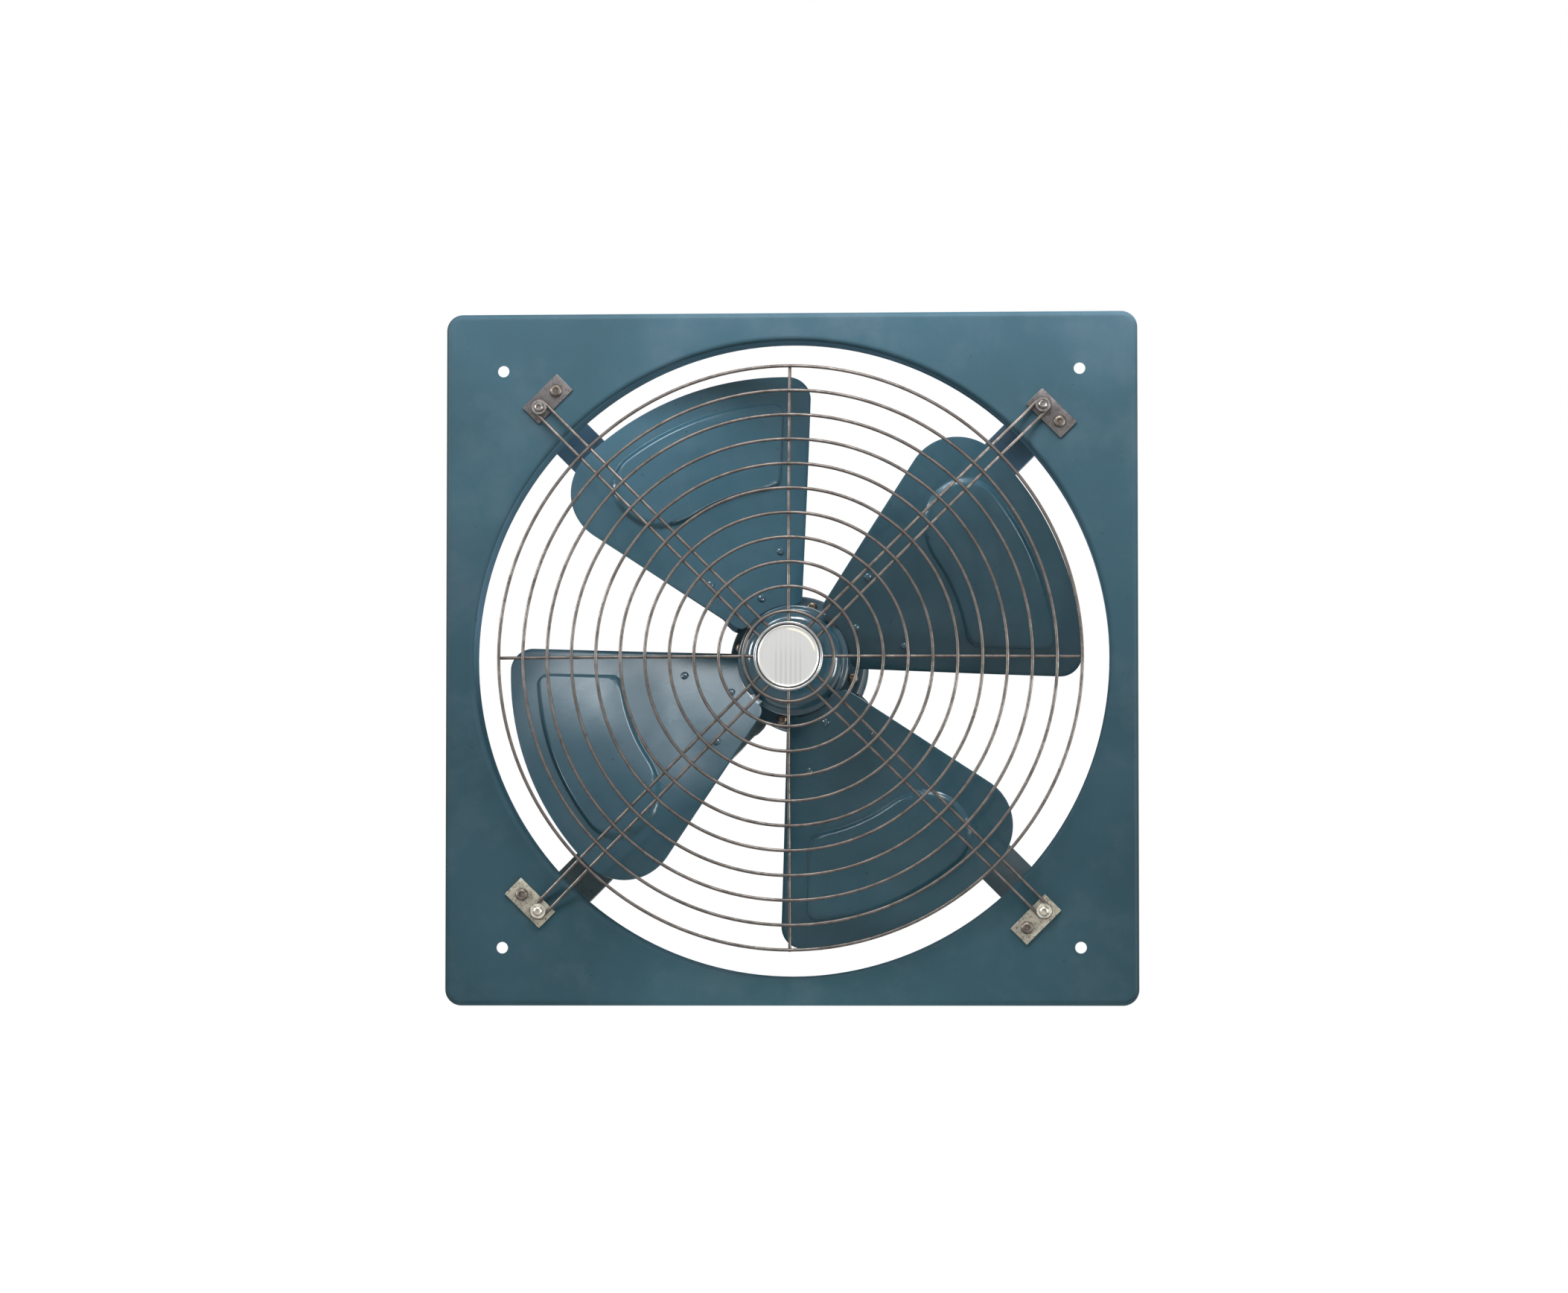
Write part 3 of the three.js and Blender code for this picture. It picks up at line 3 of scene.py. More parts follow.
import bmesh
import bpy
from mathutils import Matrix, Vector


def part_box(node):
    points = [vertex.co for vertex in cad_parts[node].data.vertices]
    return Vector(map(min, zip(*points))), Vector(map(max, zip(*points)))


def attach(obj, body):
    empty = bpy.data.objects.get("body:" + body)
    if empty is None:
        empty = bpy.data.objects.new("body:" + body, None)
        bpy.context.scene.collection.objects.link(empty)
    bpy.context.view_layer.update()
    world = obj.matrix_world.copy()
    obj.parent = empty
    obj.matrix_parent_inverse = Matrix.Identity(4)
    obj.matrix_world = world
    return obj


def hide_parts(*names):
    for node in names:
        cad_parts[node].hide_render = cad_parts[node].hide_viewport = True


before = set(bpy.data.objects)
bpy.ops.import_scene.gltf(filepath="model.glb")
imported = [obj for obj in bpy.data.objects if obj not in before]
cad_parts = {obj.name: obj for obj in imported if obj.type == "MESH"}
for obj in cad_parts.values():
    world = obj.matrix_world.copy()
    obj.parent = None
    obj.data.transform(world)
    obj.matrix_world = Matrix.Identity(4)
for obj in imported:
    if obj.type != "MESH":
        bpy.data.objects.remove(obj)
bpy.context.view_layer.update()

# ---- The photograph's view ----
# The fan is seen from the guard side, a little from below and from the right, through a long lens.
# The floor lies below the camera, because the camera looks up at the plate.

PHOTO_WIDTH, PHOTO_HEIGHT = 2106, 1736
PLATE_CENTRE_PX = (1062.0, 883.5)
PLATE_WIDTH_PX = 932.0
CAMERA_DISTANCE = 5.0
CAMERA_AZIMUTH = math.radians(3.5)
CAMERA_ELEVATION = math.radians(-3.0)

plate_low, plate_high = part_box("frame_plate")
metres_per_px = (plate_high.x - plate_low.x) / PLATE_WIDTH_PX
aim = Vector((
    (PHOTO_WIDTH / 2 - PLATE_CENTRE_PX[0]) * metres_per_px,
    plate_low.y,
    (PLATE_CENTRE_PX[1] - PHOTO_HEIGHT / 2) * metres_per_px,
))
towards_camera = Vector((
    math.sin(CAMERA_AZIMUTH) * math.cos(CAMERA_ELEVATION),
    -math.cos(CAMERA_AZIMUTH) * math.cos(CAMERA_ELEVATION),
    math.sin(CAMERA_ELEVATION),
))
camera = bpy.data.objects.new("photo_camera", bpy.data.cameras.new("photo_camera"))
camera.location = aim + towards_camera * CAMERA_DISTANCE
camera.rotation_euler = (-towards_camera).to_track_quat("-Z", "Y").to_euler()
camera.data.lens = camera.data.sensor_width * CAMERA_DISTANCE / (PHOTO_WIDTH * metres_per_px)
camera.data.clip_end = 60.0
bpy.context.scene.collection.objects.link(camera)
bpy.context.scene.camera = camera
bpy.context.scene.view_settings.view_transform = "Standard"


def plug(tree, socket, value):
    """Links a socket to the input, or writes the plain value in it."""
    if isinstance(value, bpy.types.NodeSocket):
        tree.links.new(value, socket)
    else:
        socket.default_value = value


def add_node(tree, kind, values=None, **settings):
    """A node with its settings and its inputs, each input by its name or number."""
    made = tree.nodes.new(kind)
    for name, value in settings.items():
        setattr(made, name, value)
    for name, value in (values or {}).items():
        plug(tree, made.inputs[name], value)
    return made


def number(tree, operation, *values):
    return add_node(tree, "ShaderNodeMath", dict(enumerate(values)), operation=operation).outputs[0]


def rgb(red, green, blue):
    """A screen colour of 0 to 255 as Blender's linear colour."""
    shares = [value / 255 for value in (red, green, blue)]
    linear = [v / 12.92 if v <= 0.04045 else ((v + 0.055) / 1.055) ** 2.4 for v in shares]
    return (*linear, 1.0)


# ---- Studio: white background, floor and lamps ----
# A white sweep behind the fan, one large soft lamp over the front, a small hard lamp low at the right, a
# window at the left and weak fills. Five lamps show only as glints in the gloss. The world is white to the
# camera and in reflections, and a dim blue-grey as light.

SKY, SKY_STRENGTH = (0.88, 0.94, 1.0, 1.0), 0.12
WHITE, FLOOR_GREY = (1.0, 1.0, 1.0, 1.0), (0.86, 0.86, 0.86, 1.0)
FLOOR_GAP, FLOOR_RADIUS = 0.32, 8.0
SHADED_TO, WHITE_FROM, SHADED_WHITE = 0.4, 1.1, 0.45
LILAC, WARM, CREAM = (0.98, 0.87, 1.0), (1.0, 0.97, 0.93), (1.0, 0.99, 0.97)
WINDOW_BLUE, PALE_BLUE = (0.94, 0.97, 1.0), (0.95, 0.98, 1.0)
LIGHT, GLINT, BOTH = (True, False), (False, True), (True, True)

# Each lamp's place, aim, width and height, watts and colour, and whether it lights or shows in the gloss
LAMPS = [
    ("overhead_softbox", (0.22, -0.38, 0.70), (0.08, 0.0, 0.24), (1.7, 0.35), 27.5, LILAC, LIGHT),
    ("low_flash", (1.9, -2.2, -0.5), (0.0, 0.0, 0.0), (0.14, 0.14), 10.5, WARM, BOTH),
    ("left_window", (-1.15, -1.42, 1.62), (-0.10, 0.0, -0.05), (0.6, 0.6), 10.5, WINDOW_BLUE, LIGHT),
    ("floor_bounce", (0.0, -0.16, -0.40), (0.0, 0.0, -0.285), (0.30, 0.05), 0.40, PALE_BLUE, LIGHT),
    ("window_glow", (-0.51, -1.23, 2.01), (-0.06, 0.0, -0.03), (0.9, 0.36), 8.0, WINDOW_BLUE, GLINT),
    ("window_glint", (-0.99, -1.19, 1.83), (-0.06, 0.0, -0.03), (0.42, 0.42), 17.0, PALE_BLUE, GLINT),
    ("left_glint", (-1.49, -0.58, 0.39), (-0.05, 0.0, 0.0), (0.40, 0.55), 30.0, PALE_BLUE, GLINT),
    ("right_glint", (1.46, -0.65, -0.14), (0.05, 0.0, 0.0), (0.35, 0.7), 24.0, PALE_BLUE, GLINT),
    ("ceiling_glint", (0.05, -0.80, 1.05), (0.0, 0.0, 0.0), (0.30, 0.26), 16.0, WHITE[:3], GLINT),
    ("rear_fill", (0.8, 2.6, 1.4), (0.0, 0.1, 0.0), (1.8, 1.4), 36.0, CREAM, BOTH),
]


def empty_tree(holder):
    """The emptied node tree of a world or a material."""
    holder.use_nodes = True
    holder.node_tree.nodes.clear()
    return holder.node_tree


def seen_directly(tree):
    """1 where the camera, a reflection or glass sees the surface, 0 where it only lights the fan."""
    path = add_node(tree, "ShaderNodeLightPath")
    seen = number(tree, "MAXIMUM", path.outputs["Is Camera Ray"], path.outputs["Is Glossy Ray"])
    return number(tree, "MAXIMUM", seen, path.outputs["Is Transmission Ray"])


def end_in_two(tree, share, lit, seen, output):
    """Ends a tree in two shaders: the lit one and, by its share, the one that is seen directly."""
    mixed = add_node(tree, "ShaderNodeMixShader", {0: share, 1: lit.outputs[0], 2: seen.outputs[0]})
    add_node(tree, output, {"Surface": mixed.outputs[0]})


world = bpy.data.worlds.new("white_studio")
bpy.context.scene.world = world
tree = empty_tree(world)
dim = add_node(tree, "ShaderNodeBackground", {"Color": SKY, "Strength": SKY_STRENGTH})
bright = add_node(tree, "ShaderNodeBackground", {"Color": WHITE, "Strength": 1.0})
end_in_two(tree, seen_directly(tree), dim, bright, "ShaderNodeOutputWorld")

bpy.ops.mesh.primitive_circle_add(
    vertices=96, radius=FLOOR_RADIUS, fill_type="NGON", location=(0, 0, plate_low.z - FLOOR_GAP)
)
floor = bpy.context.object
floor.name = "studio_floor"
pale_floor = bpy.data.materials.new("pale_floor")
tree = empty_tree(pale_floor)
place = add_node(tree, "ShaderNodeTexCoord").outputs["Object"]
distance = add_node(tree, "ShaderNodeVectorMath", {0: place}, operation="LENGTH").outputs["Value"]
ramp = {"Value": distance, 1: SHADED_TO, 2: WHITE_FROM, 3: SHADED_WHITE, 4: 1.0}
faded = add_node(tree, "ShaderNodeMapRange", ramp).outputs[0]
matt = add_node(tree, "ShaderNodeBsdfDiffuse", {"Color": FLOOR_GREY})
glow = add_node(tree, "ShaderNodeEmission", {"Color": WHITE, "Strength": 1.0})
share = number(tree, "MULTIPLY", seen_directly(tree), faded)
end_in_two(tree, share, matt, glow, "ShaderNodeOutputMaterial")
floor.data.materials.append(pale_floor)

for name, place, aimed_at, size, watts, colour, (lights, glints) in LAMPS:
    lamp = bpy.data.objects.new(name, bpy.data.lights.new(name, "AREA"))
    lamp.data.shape = "RECTANGLE"
    lamp.data.size, lamp.data.size_y = size
    lamp.data.energy = watts
    lamp.data.color = colour
    lamp.location = place
    lamp.rotation_euler = (Vector(aimed_at) - Vector(place)).to_track_quat("-Z", "Y").to_euler()
    lamp.visible_diffuse, lamp.visible_glossy = lights, glints
    bpy.context.scene.collection.objects.link(lamp)

# ---- Mounting plate ----
# A square of deep-drawn steel sheet with a folded-back rim. Its round opening is drawn into a bell mouth and
# a short collar. It is dipped in blue-green stove enamel, with a corner hole for each wall bolt.

MM = 0.001
SHEET = 2.0
RIM_BEND, MOUTH_BEND, FLAT_MARGIN = 5.0, 5.0, 1.5
PLATE_CORNER = 14.0
OPENING_RADIUS = 275.0
MOUNT_AT, MOUNT_HOLE_RADIUS = 250.0, 5.0
CLIP_AT, SCREW_SPACING, SCREW_HOLE_RADIUS = 309.0, 20.5, 2.9
RIM_STEPS, MOUTH_STEPS = 8, 10
CORNER_STEPS, OPENING_STEPS = 12, 180


def box_mm(node):
    """A CAD node's lowest and highest corners in millimetres."""
    low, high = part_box(node)
    return low / MM, high / MM


def new_piece(name, points, faces=(), edges=()):
    """A piece from points in millimetres, at the origin, with its place in its mesh."""
    mesh = bpy.data.meshes.new(name)
    mesh.from_pydata([tuple(v * MM for v in p) for p in points], edges, faces)
    piece = bpy.data.objects.new(name, mesh)
    bpy.context.scene.collection.objects.link(piece)
    return piece


def face_out(piece):
    """Makes the faces of a closed mesh point outwards, once its doubles are merged."""
    bm = bmesh.new()
    bm.from_mesh(piece.data)
    bmesh.ops.remove_doubles(bm, verts=bm.verts, dist=0.002 * MM)
    bmesh.ops.recalc_face_normals(bm, faces=bm.faces)
    bm.to_mesh(piece.data)
    bm.free()


def make_plain(piece, crease=35):
    """Turns the piece and its modifiers into a plain mesh that shades smooth up to the crease angle."""
    depsgraph = bpy.context.evaluated_depsgraph_get()
    mesh = bpy.data.meshes.new_from_object(piece.evaluated_get(depsgraph))
    piece.modifiers.clear()
    piece.data = mesh
    mesh.shade_smooth()
    mesh.set_sharp_from_angle(angle=math.radians(crease))


def thicken(piece, thickness, offset=0.0, even=False):
    """Gives a sheet its thickness, on both sides of it or behind it."""
    solid = piece.modifiers.new("sheet", "SOLIDIFY")
    solid.thickness = thickness * MM
    solid.offset = offset
    solid.use_even_offset = even


def polar(radius, degrees, x=0.0, z=0.0):
    angle = math.radians(degrees)
    return (x + radius * math.cos(angle), z + radius * math.sin(angle))


def ring_points(radius, count, x=0.0, z=0.0):
    return [polar(radius, 360 * k / count, x, z) for k in range(count)]


def rounded_square(half_x, half_z, corner, steps):
    """The [x, z] points of a rectangle with round corners, counterclockwise from the upper right corner."""
    points = []
    for quarter, (sx, sz) in enumerate([(1, 1), (-1, 1), (-1, -1), (1, -1)]):
        x, z = sx * (half_x - corner), sz * (half_z - corner)
        points += [polar(corner, 90 * (quarter + k / steps), x, z) for k in range(steps + 1)]
    return points


plate_front, plate_half = plate_low.y / MM, plate_high.x / MM
bm = bmesh.new()


def plate_loop(outline, y):
    return [bm.verts.new((x * MM, y * MM, z * MM)) for x, z in outline]


def rim_loop(reach, y):
    half, corner = plate_half - RIM_BEND + reach, PLATE_CORNER - RIM_BEND + reach
    return plate_loop(rounded_square(half, half, corner, CORNER_STEPS), y)


def mouth_loop(reach, y):
    return plate_loop(ring_points(OPENING_RADIUS + MOUTH_BEND - reach, OPENING_STEPS), y)


def fold_back(loop_at, bend, steps, end):
    """Folds the sheet back from the flat through a quarter bend, and gives the loop that borders the flat."""
    rows = [loop_at(-FLAT_MARGIN, plate_front)]
    for step in range(steps + 1):
        turn = math.radians(90 * step / steps)
        rows.append(loop_at(bend * math.sin(turn), plate_front + bend * (1 - math.cos(turn))))
    rows.append(loop_at(bend, end))
    for near, far in zip(rows, rows[1:]):
        for k in range(len(near)):
            bm.faces.new((near[k - 1], near[k], far[k], far[k - 1]))
    return rows[0]


borders = [fold_back(rim_loop, RIM_BEND, RIM_STEPS, 0.0)]
borders.append(fold_back(mouth_loop, MOUTH_BEND, MOUTH_STEPS, plate_high.y / MM))
for corner in range(4):
    x, z = polar(MOUNT_AT * math.sqrt(2), 45 + 90 * corner)
    borders.append(plate_loop(ring_points(MOUNT_HOLE_RADIUS, 32, x, z), plate_front))
    for aside in (0.0, SCREW_SPACING):
        angle = 45 + 90 * corner - math.degrees(math.atan2(aside, CLIP_AT))
        x, z = polar(math.hypot(CLIP_AT, aside), angle)
        borders.append(plate_loop(ring_points(SCREW_HOLE_RADIUS, 16, x, z), plate_front))
flat_edges = [
    bm.edges.get((loop[k - 1], loop[k])) or bm.edges.new((loop[k - 1], loop[k]))
    for loop in borders for k in range(len(loop))
]
bmesh.ops.triangle_fill(bm, use_beauty=True, edges=flat_edges, normal=(0, -1, 0))
bmesh.ops.recalc_face_normals(bm, faces=bm.faces)
if sum(face.normal.y * face.calc_area() for face in bm.faces) > 0:
    bmesh.ops.reverse_faces(bm, faces=bm.faces)
plate = new_piece("mounting_plate", [])
bm.to_mesh(plate.data)
bm.free()
thicken(plate, SHEET, offset=-1.0, even=True)
make_plain(plate)


def new_group(name, kind, inputs, outputs):
    """A node group with its sockets by name and kind, and its input node's sockets."""
    group = bpy.data.node_groups.new(name, kind)
    for side, sockets in (("INPUT", inputs), ("OUTPUT", outputs)):
        for label, socket in sockets.items():
            group.interface.new_socket(label, in_out=side, socket_type="NodeSocket" + socket)
    return group, group.nodes.new("NodeGroupInput").outputs


def start_effect(name, colours, numbers):
    """A shader group from a place, colours and numbers to a colour, a roughness and a height."""
    inputs = {"Place": "Vector", **dict.fromkeys(colours, "Color"), **dict.fromkeys(numbers, "Float")}
    look = {"Colour": "Color", "Roughness": "Float", "Height": "Float"}
    return new_group(name, "ShaderNodeTree", inputs, look)


def end_effect(tree, colour, roughness, height):
    add_node(tree, "NodeGroupOutput", {"Colour": colour, "Roughness": roughness, "Height": height})


def noise(tree, place, scale, detail=3.0, rough=0.5):
    values = {"Vector": place, "Scale": scale, "Detail": detail, "Roughness": rough}
    return add_node(tree, "ShaderNodeTexNoise", values).outputs[0]


def mask(tree, value, low, high, start=0.0, end=1.0):
    """start where the value is below low, end where it is above high, and a smooth ramp between."""
    values = {"Value": value, 1: low, 2: high, 3: start, 4: end}
    return add_node(tree, "ShaderNodeMapRange", values, interpolation_type="SMOOTHSTEP").outputs[0]


def mix_colour(tree, share, first, second):
    return add_node(tree, "ShaderNodeMix", {0: share, 6: first, 7: second}, data_type="RGBA").outputs[2]


def scaled(tree, vector, factor):
    return add_node(tree, "ShaderNodeVectorMath", {0: vector, "Scale": factor}, operation="SCALE").outputs[0]


# Stove enamel: clouds of tone, an orange-peel skin, a film of dust in patches, and small pale and dark specks
enamel_coat, given = start_effect("enamel_coat", ("Paint", "Dust"), ("Dusty", "Roughness"))
tree, place = enamel_coat, given["Place"]
clouds = mask(tree, noise(tree, place, 7.0), 0.3, 0.7, 0.90, 1.10)
film = mask(tree, noise(tree, place, 19.0, 6.0, 0.62), 0.42, 0.72)
film = number(tree, "MULTIPLY", film, given["Dusty"])
specks = mask(tree, noise(tree, place, 620.0, 2.0, 0.6), 0.70, 0.76)
specks = number(tree, "MULTIPLY", specks, number(tree, "MULTIPLY", given["Dusty"], 1.6))
pale = number(tree, "MAXIMUM", film, specks)
dusted = mix_colour(tree, pale, scaled(tree, given["Paint"], clouds), given["Dust"])
pits = mask(tree, noise(tree, place, 240.0, 2.0, 0.5), 0.24, 0.29, 0.6, 1.0)
smear = mask(tree, noise(tree, place, 16.0, 2.0), 0.3, 0.7, -0.01, 0.02)
dulled = number(tree, "MULTIPLY_ADD", film, 0.8, smear)
peel = number(tree, "ADD", noise(tree, place, 260.0, 2.0, 0.4), noise(tree, place, 30.0, 1.0))
end_effect(tree, scaled(tree, dusted, pits), number(tree, "ADD", given["Roughness"], dulled), peel)


def finish(name, group, values, bump, bump_depth, **shader):
    """A material whose colour, roughness and bump come from an effect group, on Object coordinates.

    A value is plain, or a function that makes it from the material's tree and place."""
    made = bpy.data.materials.new(name)
    tree = empty_tree(made)
    place = add_node(tree, "ShaderNodeTexCoord").outputs["Object"]
    effect = add_node(tree, "ShaderNodeGroup", node_tree=group)
    for label, value in {"Place": place, **values}.items():
        plug(tree, effect.inputs[label], value(tree, place) if callable(value) else value)
    look = effect.outputs
    grain = {"Height": look["Height"], "Strength": bump, "Distance": bump_depth}
    raised = add_node(tree, "ShaderNodeBump", grain)
    surface = add_node(tree, "ShaderNodeBsdfPrincipled", {
        "Base Color": look["Colour"], "Roughness": look["Roughness"], "Normal": raised.outputs["Normal"],
        **{label.replace("_", " "): value for label, value in shader.items()},
    })
    add_node(tree, "ShaderNodeOutputMaterial", {"Surface": surface.outputs[0]})
    return made


def lower_upper(lower, upper):
    """One tone for what lies in the fan's lower half and one for the upper half."""
    def build(tree, place):
        height = add_node(tree, "ShaderNodeSeparateXYZ", {0: place}).outputs["Z"]
        return mix_colour(tree, mask(tree, height, -0.05, 0.05), lower, upper)
    return build


# The collar and the inner part of the mouth's bend are painted lighter in their upper half. This is painted
# light that brightens the shade on the collar's inner wall there
PLATE_PAINT, MOUTH_PAINTED_LIGHT = rgb(44, 71, 77), rgb(83, 116, 128)
DUST = rgb(128, 140, 142)


def enamel(name, paint, dusty, roughness, bump, specular=0.5):
    """The stove enamel in one of its paints, with its share of dust."""
    values = {"Paint": paint, "Dust": DUST, "Dusty": dusty, "Roughness": roughness}
    return finish(name, enamel_coat, values, bump, 0.001, Specular_IOR_Level=specular)


for name, paint, roughness, specular in (
    ("plate_enamel", PLATE_PAINT, 0.50, 0.08),
    ("collar_enamel", lower_upper(PLATE_PAINT, MOUTH_PAINTED_LIGHT), 0.60, 0.0),
):
    plate.data.materials.append(enamel(name, paint, 0.06, roughness, 0.08, specular))
for face in plate.data.polygons:
    radius = math.hypot(face.center.x, face.center.z) / MM
    face.material_index = int(radius < OPENING_RADIUS + MOUTH_BEND / 4 and abs(face.normal.y) < 0.5)
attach(plate, "frame")
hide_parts("frame_plate")

# ---- Motor arms ----
# Four channels of 3 mm strip with stiffening flanges. Each lies on an ear of the motor's front cover, runs
# out behind the blades and turns forward to a foot on the plate's rear face.

ARM_SHEET, ARM_BEND, ARM_FLANGE = 3.0, 6.0, 11.0
ARM_START, FLANGE_START = 58.0, 76.5
ARM_HALF_WIDTH = 19.0
LEG_AT, FOOT_END = 293.0, 322.0
SEAT_GAP = 0.3
CORNER_NAMES = ("upper_right", "upper_left", "lower_left", "lower_right")
FIRST_CORNER = 45.0
# The arms' two tones are lit and shaded copies of one paint. The upper arms are painted lighter, as painted
# light, and the lower arms darker and greyer, as painted shade
ARM_PAINTED_LIGHT, ARM_PAINTED_SHADE = rgb(91, 130, 149), rgb(65, 83, 84)


def turned(vector, angle):
    """A flat vector turned by an angle."""
    return Vector((
        vector.x * math.cos(angle) - vector.y * math.sin(angle),
        vector.x * math.sin(angle) + vector.y * math.cos(angle),
    ))


def bent_outline(line, thickness, bend, steps=8):
    """The edge outline of a strip bent along a line of [along, y] points, with round bends."""
    left, right = [], []
    for i, point in enumerate(line):
        here = Vector(point)
        before = (here - Vector(line[i - 1])).normalized() if i else None
        after = (Vector(line[i + 1]) - here).normalized() if i + 1 < len(line) else None
        turn = -before.angle_signed(after) if before and after else 0.0
        reach = bend * math.tan(abs(turn) / 2)
        for k in range(steps + 1 if turn else 1):
            angle = turn * k / steps
            place = here
            if turn:
                side = Vector((-before.y, before.x)) * math.copysign(bend, turn)
                place = here - before * reach + side + turned(-side, angle)
            along = turned(before or after, angle)
            normal = Vector((-along.y, along.x)) * (thickness / 2)
            left.append(place + normal)
            right.append(place - normal)
    return [tuple(p) for p in left + right[::-1]]


def skin(rows, ring=True, loop=False, caps=()):
    """A mesh of rows of points, each joined to the next: rings or strips, in a loop or closed by caps."""
    wide = len(rows[0])
    faces = [tuple(range(row * wide, (row + 1) * wide)) for row in caps]
    for row in range(len(rows) if loop else len(rows) - 1):
        near, far = row * wide, (row + 1) % len(rows) * wide
        for k in range(wide if ring else wide - 1):
            after = (k + 1) % wide
            faces.append((near + k, near + after, far + after, far + k))
    return [point for row in rows for point in row], faces


def gather(*solids):
    """The points and faces of several solids as one mesh."""
    points, faces = [], []
    for more_points, more_faces in solids:
        faces += [tuple(k + len(points) for k in face) for face in more_faces]
        points += more_points
    return points, faces


def soften(piece, width, segments=2, angle=40):
    edge = piece.modifiers.new("soft_edges", "BEVEL")
    edge.width = width * MM
    edge.segments = segments
    edge.limit_method = "ANGLE"
    edge.angle_limit = math.radians(angle)
    edge.use_clamp_overlap = True


def solid_piece(name, solid, *edge):
    """A closed piece with its faces outwards and, where an edge is given, its edges softened."""
    piece = new_piece(name, *solid)
    face_out(piece)
    if edge:
        soften(piece, *edge)
    return piece


def start_geometry(name, inputs):
    """A Geometry Nodes tree with its inputs, which end in the geometry's material."""
    inputs = {"Geometry": "Geometry", **inputs, "Material": "Material"}
    return new_group(name, "GeometryNodeTree", inputs, {"Geometry": "Geometry"})


def end_geometry(tree, made, given):
    """Ends a tree in Realize Instances and Set Material."""
    real = add_node(tree, "GeometryNodeRealizeInstances", {0: made}).outputs[0]
    dressed = add_node(tree, "GeometryNodeSetMaterial", {"Geometry": real, "Material": given["Material"]})
    add_node(tree, "NodeGroupOutput", {"Geometry": dressed.outputs[0]})


def combined(tree, **axes):
    return add_node(tree, "ShaderNodeCombineXYZ", axes).outputs[0]


def on_points(tree, points, piece, **values):
    """A copy of the piece on each point."""
    values = {"Points": points, "Instance": piece, **values}
    return add_node(tree, "GeometryNodeInstanceOnPoints", values).outputs[0]


def run_nodes(piece, group, values):
    """Puts the tree on the piece, with its inputs set by their identifiers."""
    modifier = piece.modifiers.new(group.name, "NODES")
    modifier.node_group = group
    for item in group.interface.items_tree:
        if item.in_out == "INPUT" and item.name in values:
            modifier[item.identifier] = values[item.name]


# Copies of a piece at even angles round the shaft, counterclockwise seen from the guard side
round_the_shaft, given = start_geometry("round_the_shaft", {"Copies": "Int", "First angle": "Float"})
tree = round_the_shaft
spots = add_node(tree, "GeometryNodePoints", {"Count": given["Copies"]}).outputs[0]
index = add_node(tree, "GeometryNodeInputIndex").outputs[0]
step = number(tree, "DIVIDE", math.tau, given["Copies"])
angle = number(tree, "MULTIPLY_ADD", index, step, given["First angle"])
turn = combined(tree, Y=number(tree, "MULTIPLY", angle, -1.0))
end_geometry(tree, on_points(tree, spots, given["Geometry"], Rotation=turn), given)


def copy_round(piece, first_angle, material, crease=35):
    """Makes the piece into four, at right angles round the shaft."""
    first = math.radians(first_angle)
    run_nodes(piece, round_the_shaft, {"Copies": 4, "First angle": first, "Material": material})
    make_plain(piece, crease)


def across(outline, *ends):
    """A solid of an [along, y] outline from end to end across the arm."""
    return skin([[(u, v, z) for u, v in outline] for z in ends], caps=(0, 1))


arm_front = box_mm("motor_arm_upper_right")[1].y - ARM_FLANGE
arm_middle = arm_front + ARM_SHEET / 2
leg_middle = LEG_AT + ARM_SHEET / 2
foot_middle = plate_front + SHEET + SEAT_GAP + ARM_SHEET / 2
strip = bent_outline(
    [(ARM_START, arm_middle), (leg_middle, arm_middle), (leg_middle, foot_middle), (FOOT_END, foot_middle)],
    ARM_SHEET, ARM_BEND,
)
flange = [
    (FLANGE_START, arm_middle), (LEG_AT - ARM_BEND, arm_middle),
    (LEG_AT - ARM_BEND - ARM_FLANGE, arm_front + ARM_FLANGE),
    (FLANGE_START + ARM_FLANGE, arm_front + ARM_FLANGE),
]
half_inside = ARM_HALF_WIDTH - ARM_SHEET
flanges = [across(flange, side * half_inside, side * ARM_HALF_WIDTH) for side in (-1, 1)]
arms = solid_piece("motor_arms", gather(across(strip, -ARM_HALF_WIDTH, ARM_HALF_WIDTH), *flanges), 0.8, 3)
arm_enamel = enamel("arm_enamel", lower_upper(ARM_PAINTED_SHADE, ARM_PAINTED_LIGHT), 0.16, 0.46, 0.12, 0.2)
copy_round(arms, FIRST_CORNER, arm_enamel)
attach(arms, "frame")
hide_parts(*["motor_arm_" + corner for corner in CORNER_NAMES])

# ---- Motor's front cover ----
# A die-cast end shield with a raised middle, a bearing housing in it and four ears for the arms.
# It is painted with the fan's enamel over the cast skin.

COVER_BORE, COVER_EDGE = 9.5, 1.5
HOUSING_REACH, HOUSING_RADIUS = 8.0, 24.7
STEP_RADIUS, STEP_HEIGHT, STEP_EDGE = 43.0, 4.0, 3.0
MOTOR_RADIUS = 59.0
COVER_DEPTH, COVER_WALL, SKIRT_WALL = 16.0, 4.0, 2.5
EAR_THICKNESS, EAR_REACH, EAR_LAP, EAR_CORNER = 9.0, 76.0, 6.0, 9.0
ARM_BOLT_AT, ARM_BOLT_ASIDE = 67.0, 7.0
CAST_PAINT = rgb(48, 76, 84)


def revolved(profile, segments=96):
    """A closed profile of [radius, y] points turned about the shaft."""
    rows = [[(x, y, z) for x, z in ring_points(radius, segments)] for radius, y in profile]
    return skin(rows, loop=True)


def arc(radius, y, bend, start, end, steps=6):
    """Points of a rounded edge in a profile, round a centre at [radius, y]."""
    return [polar(bend, start + (end - start) * k / steps, radius, y) for k in range(steps + 1)]


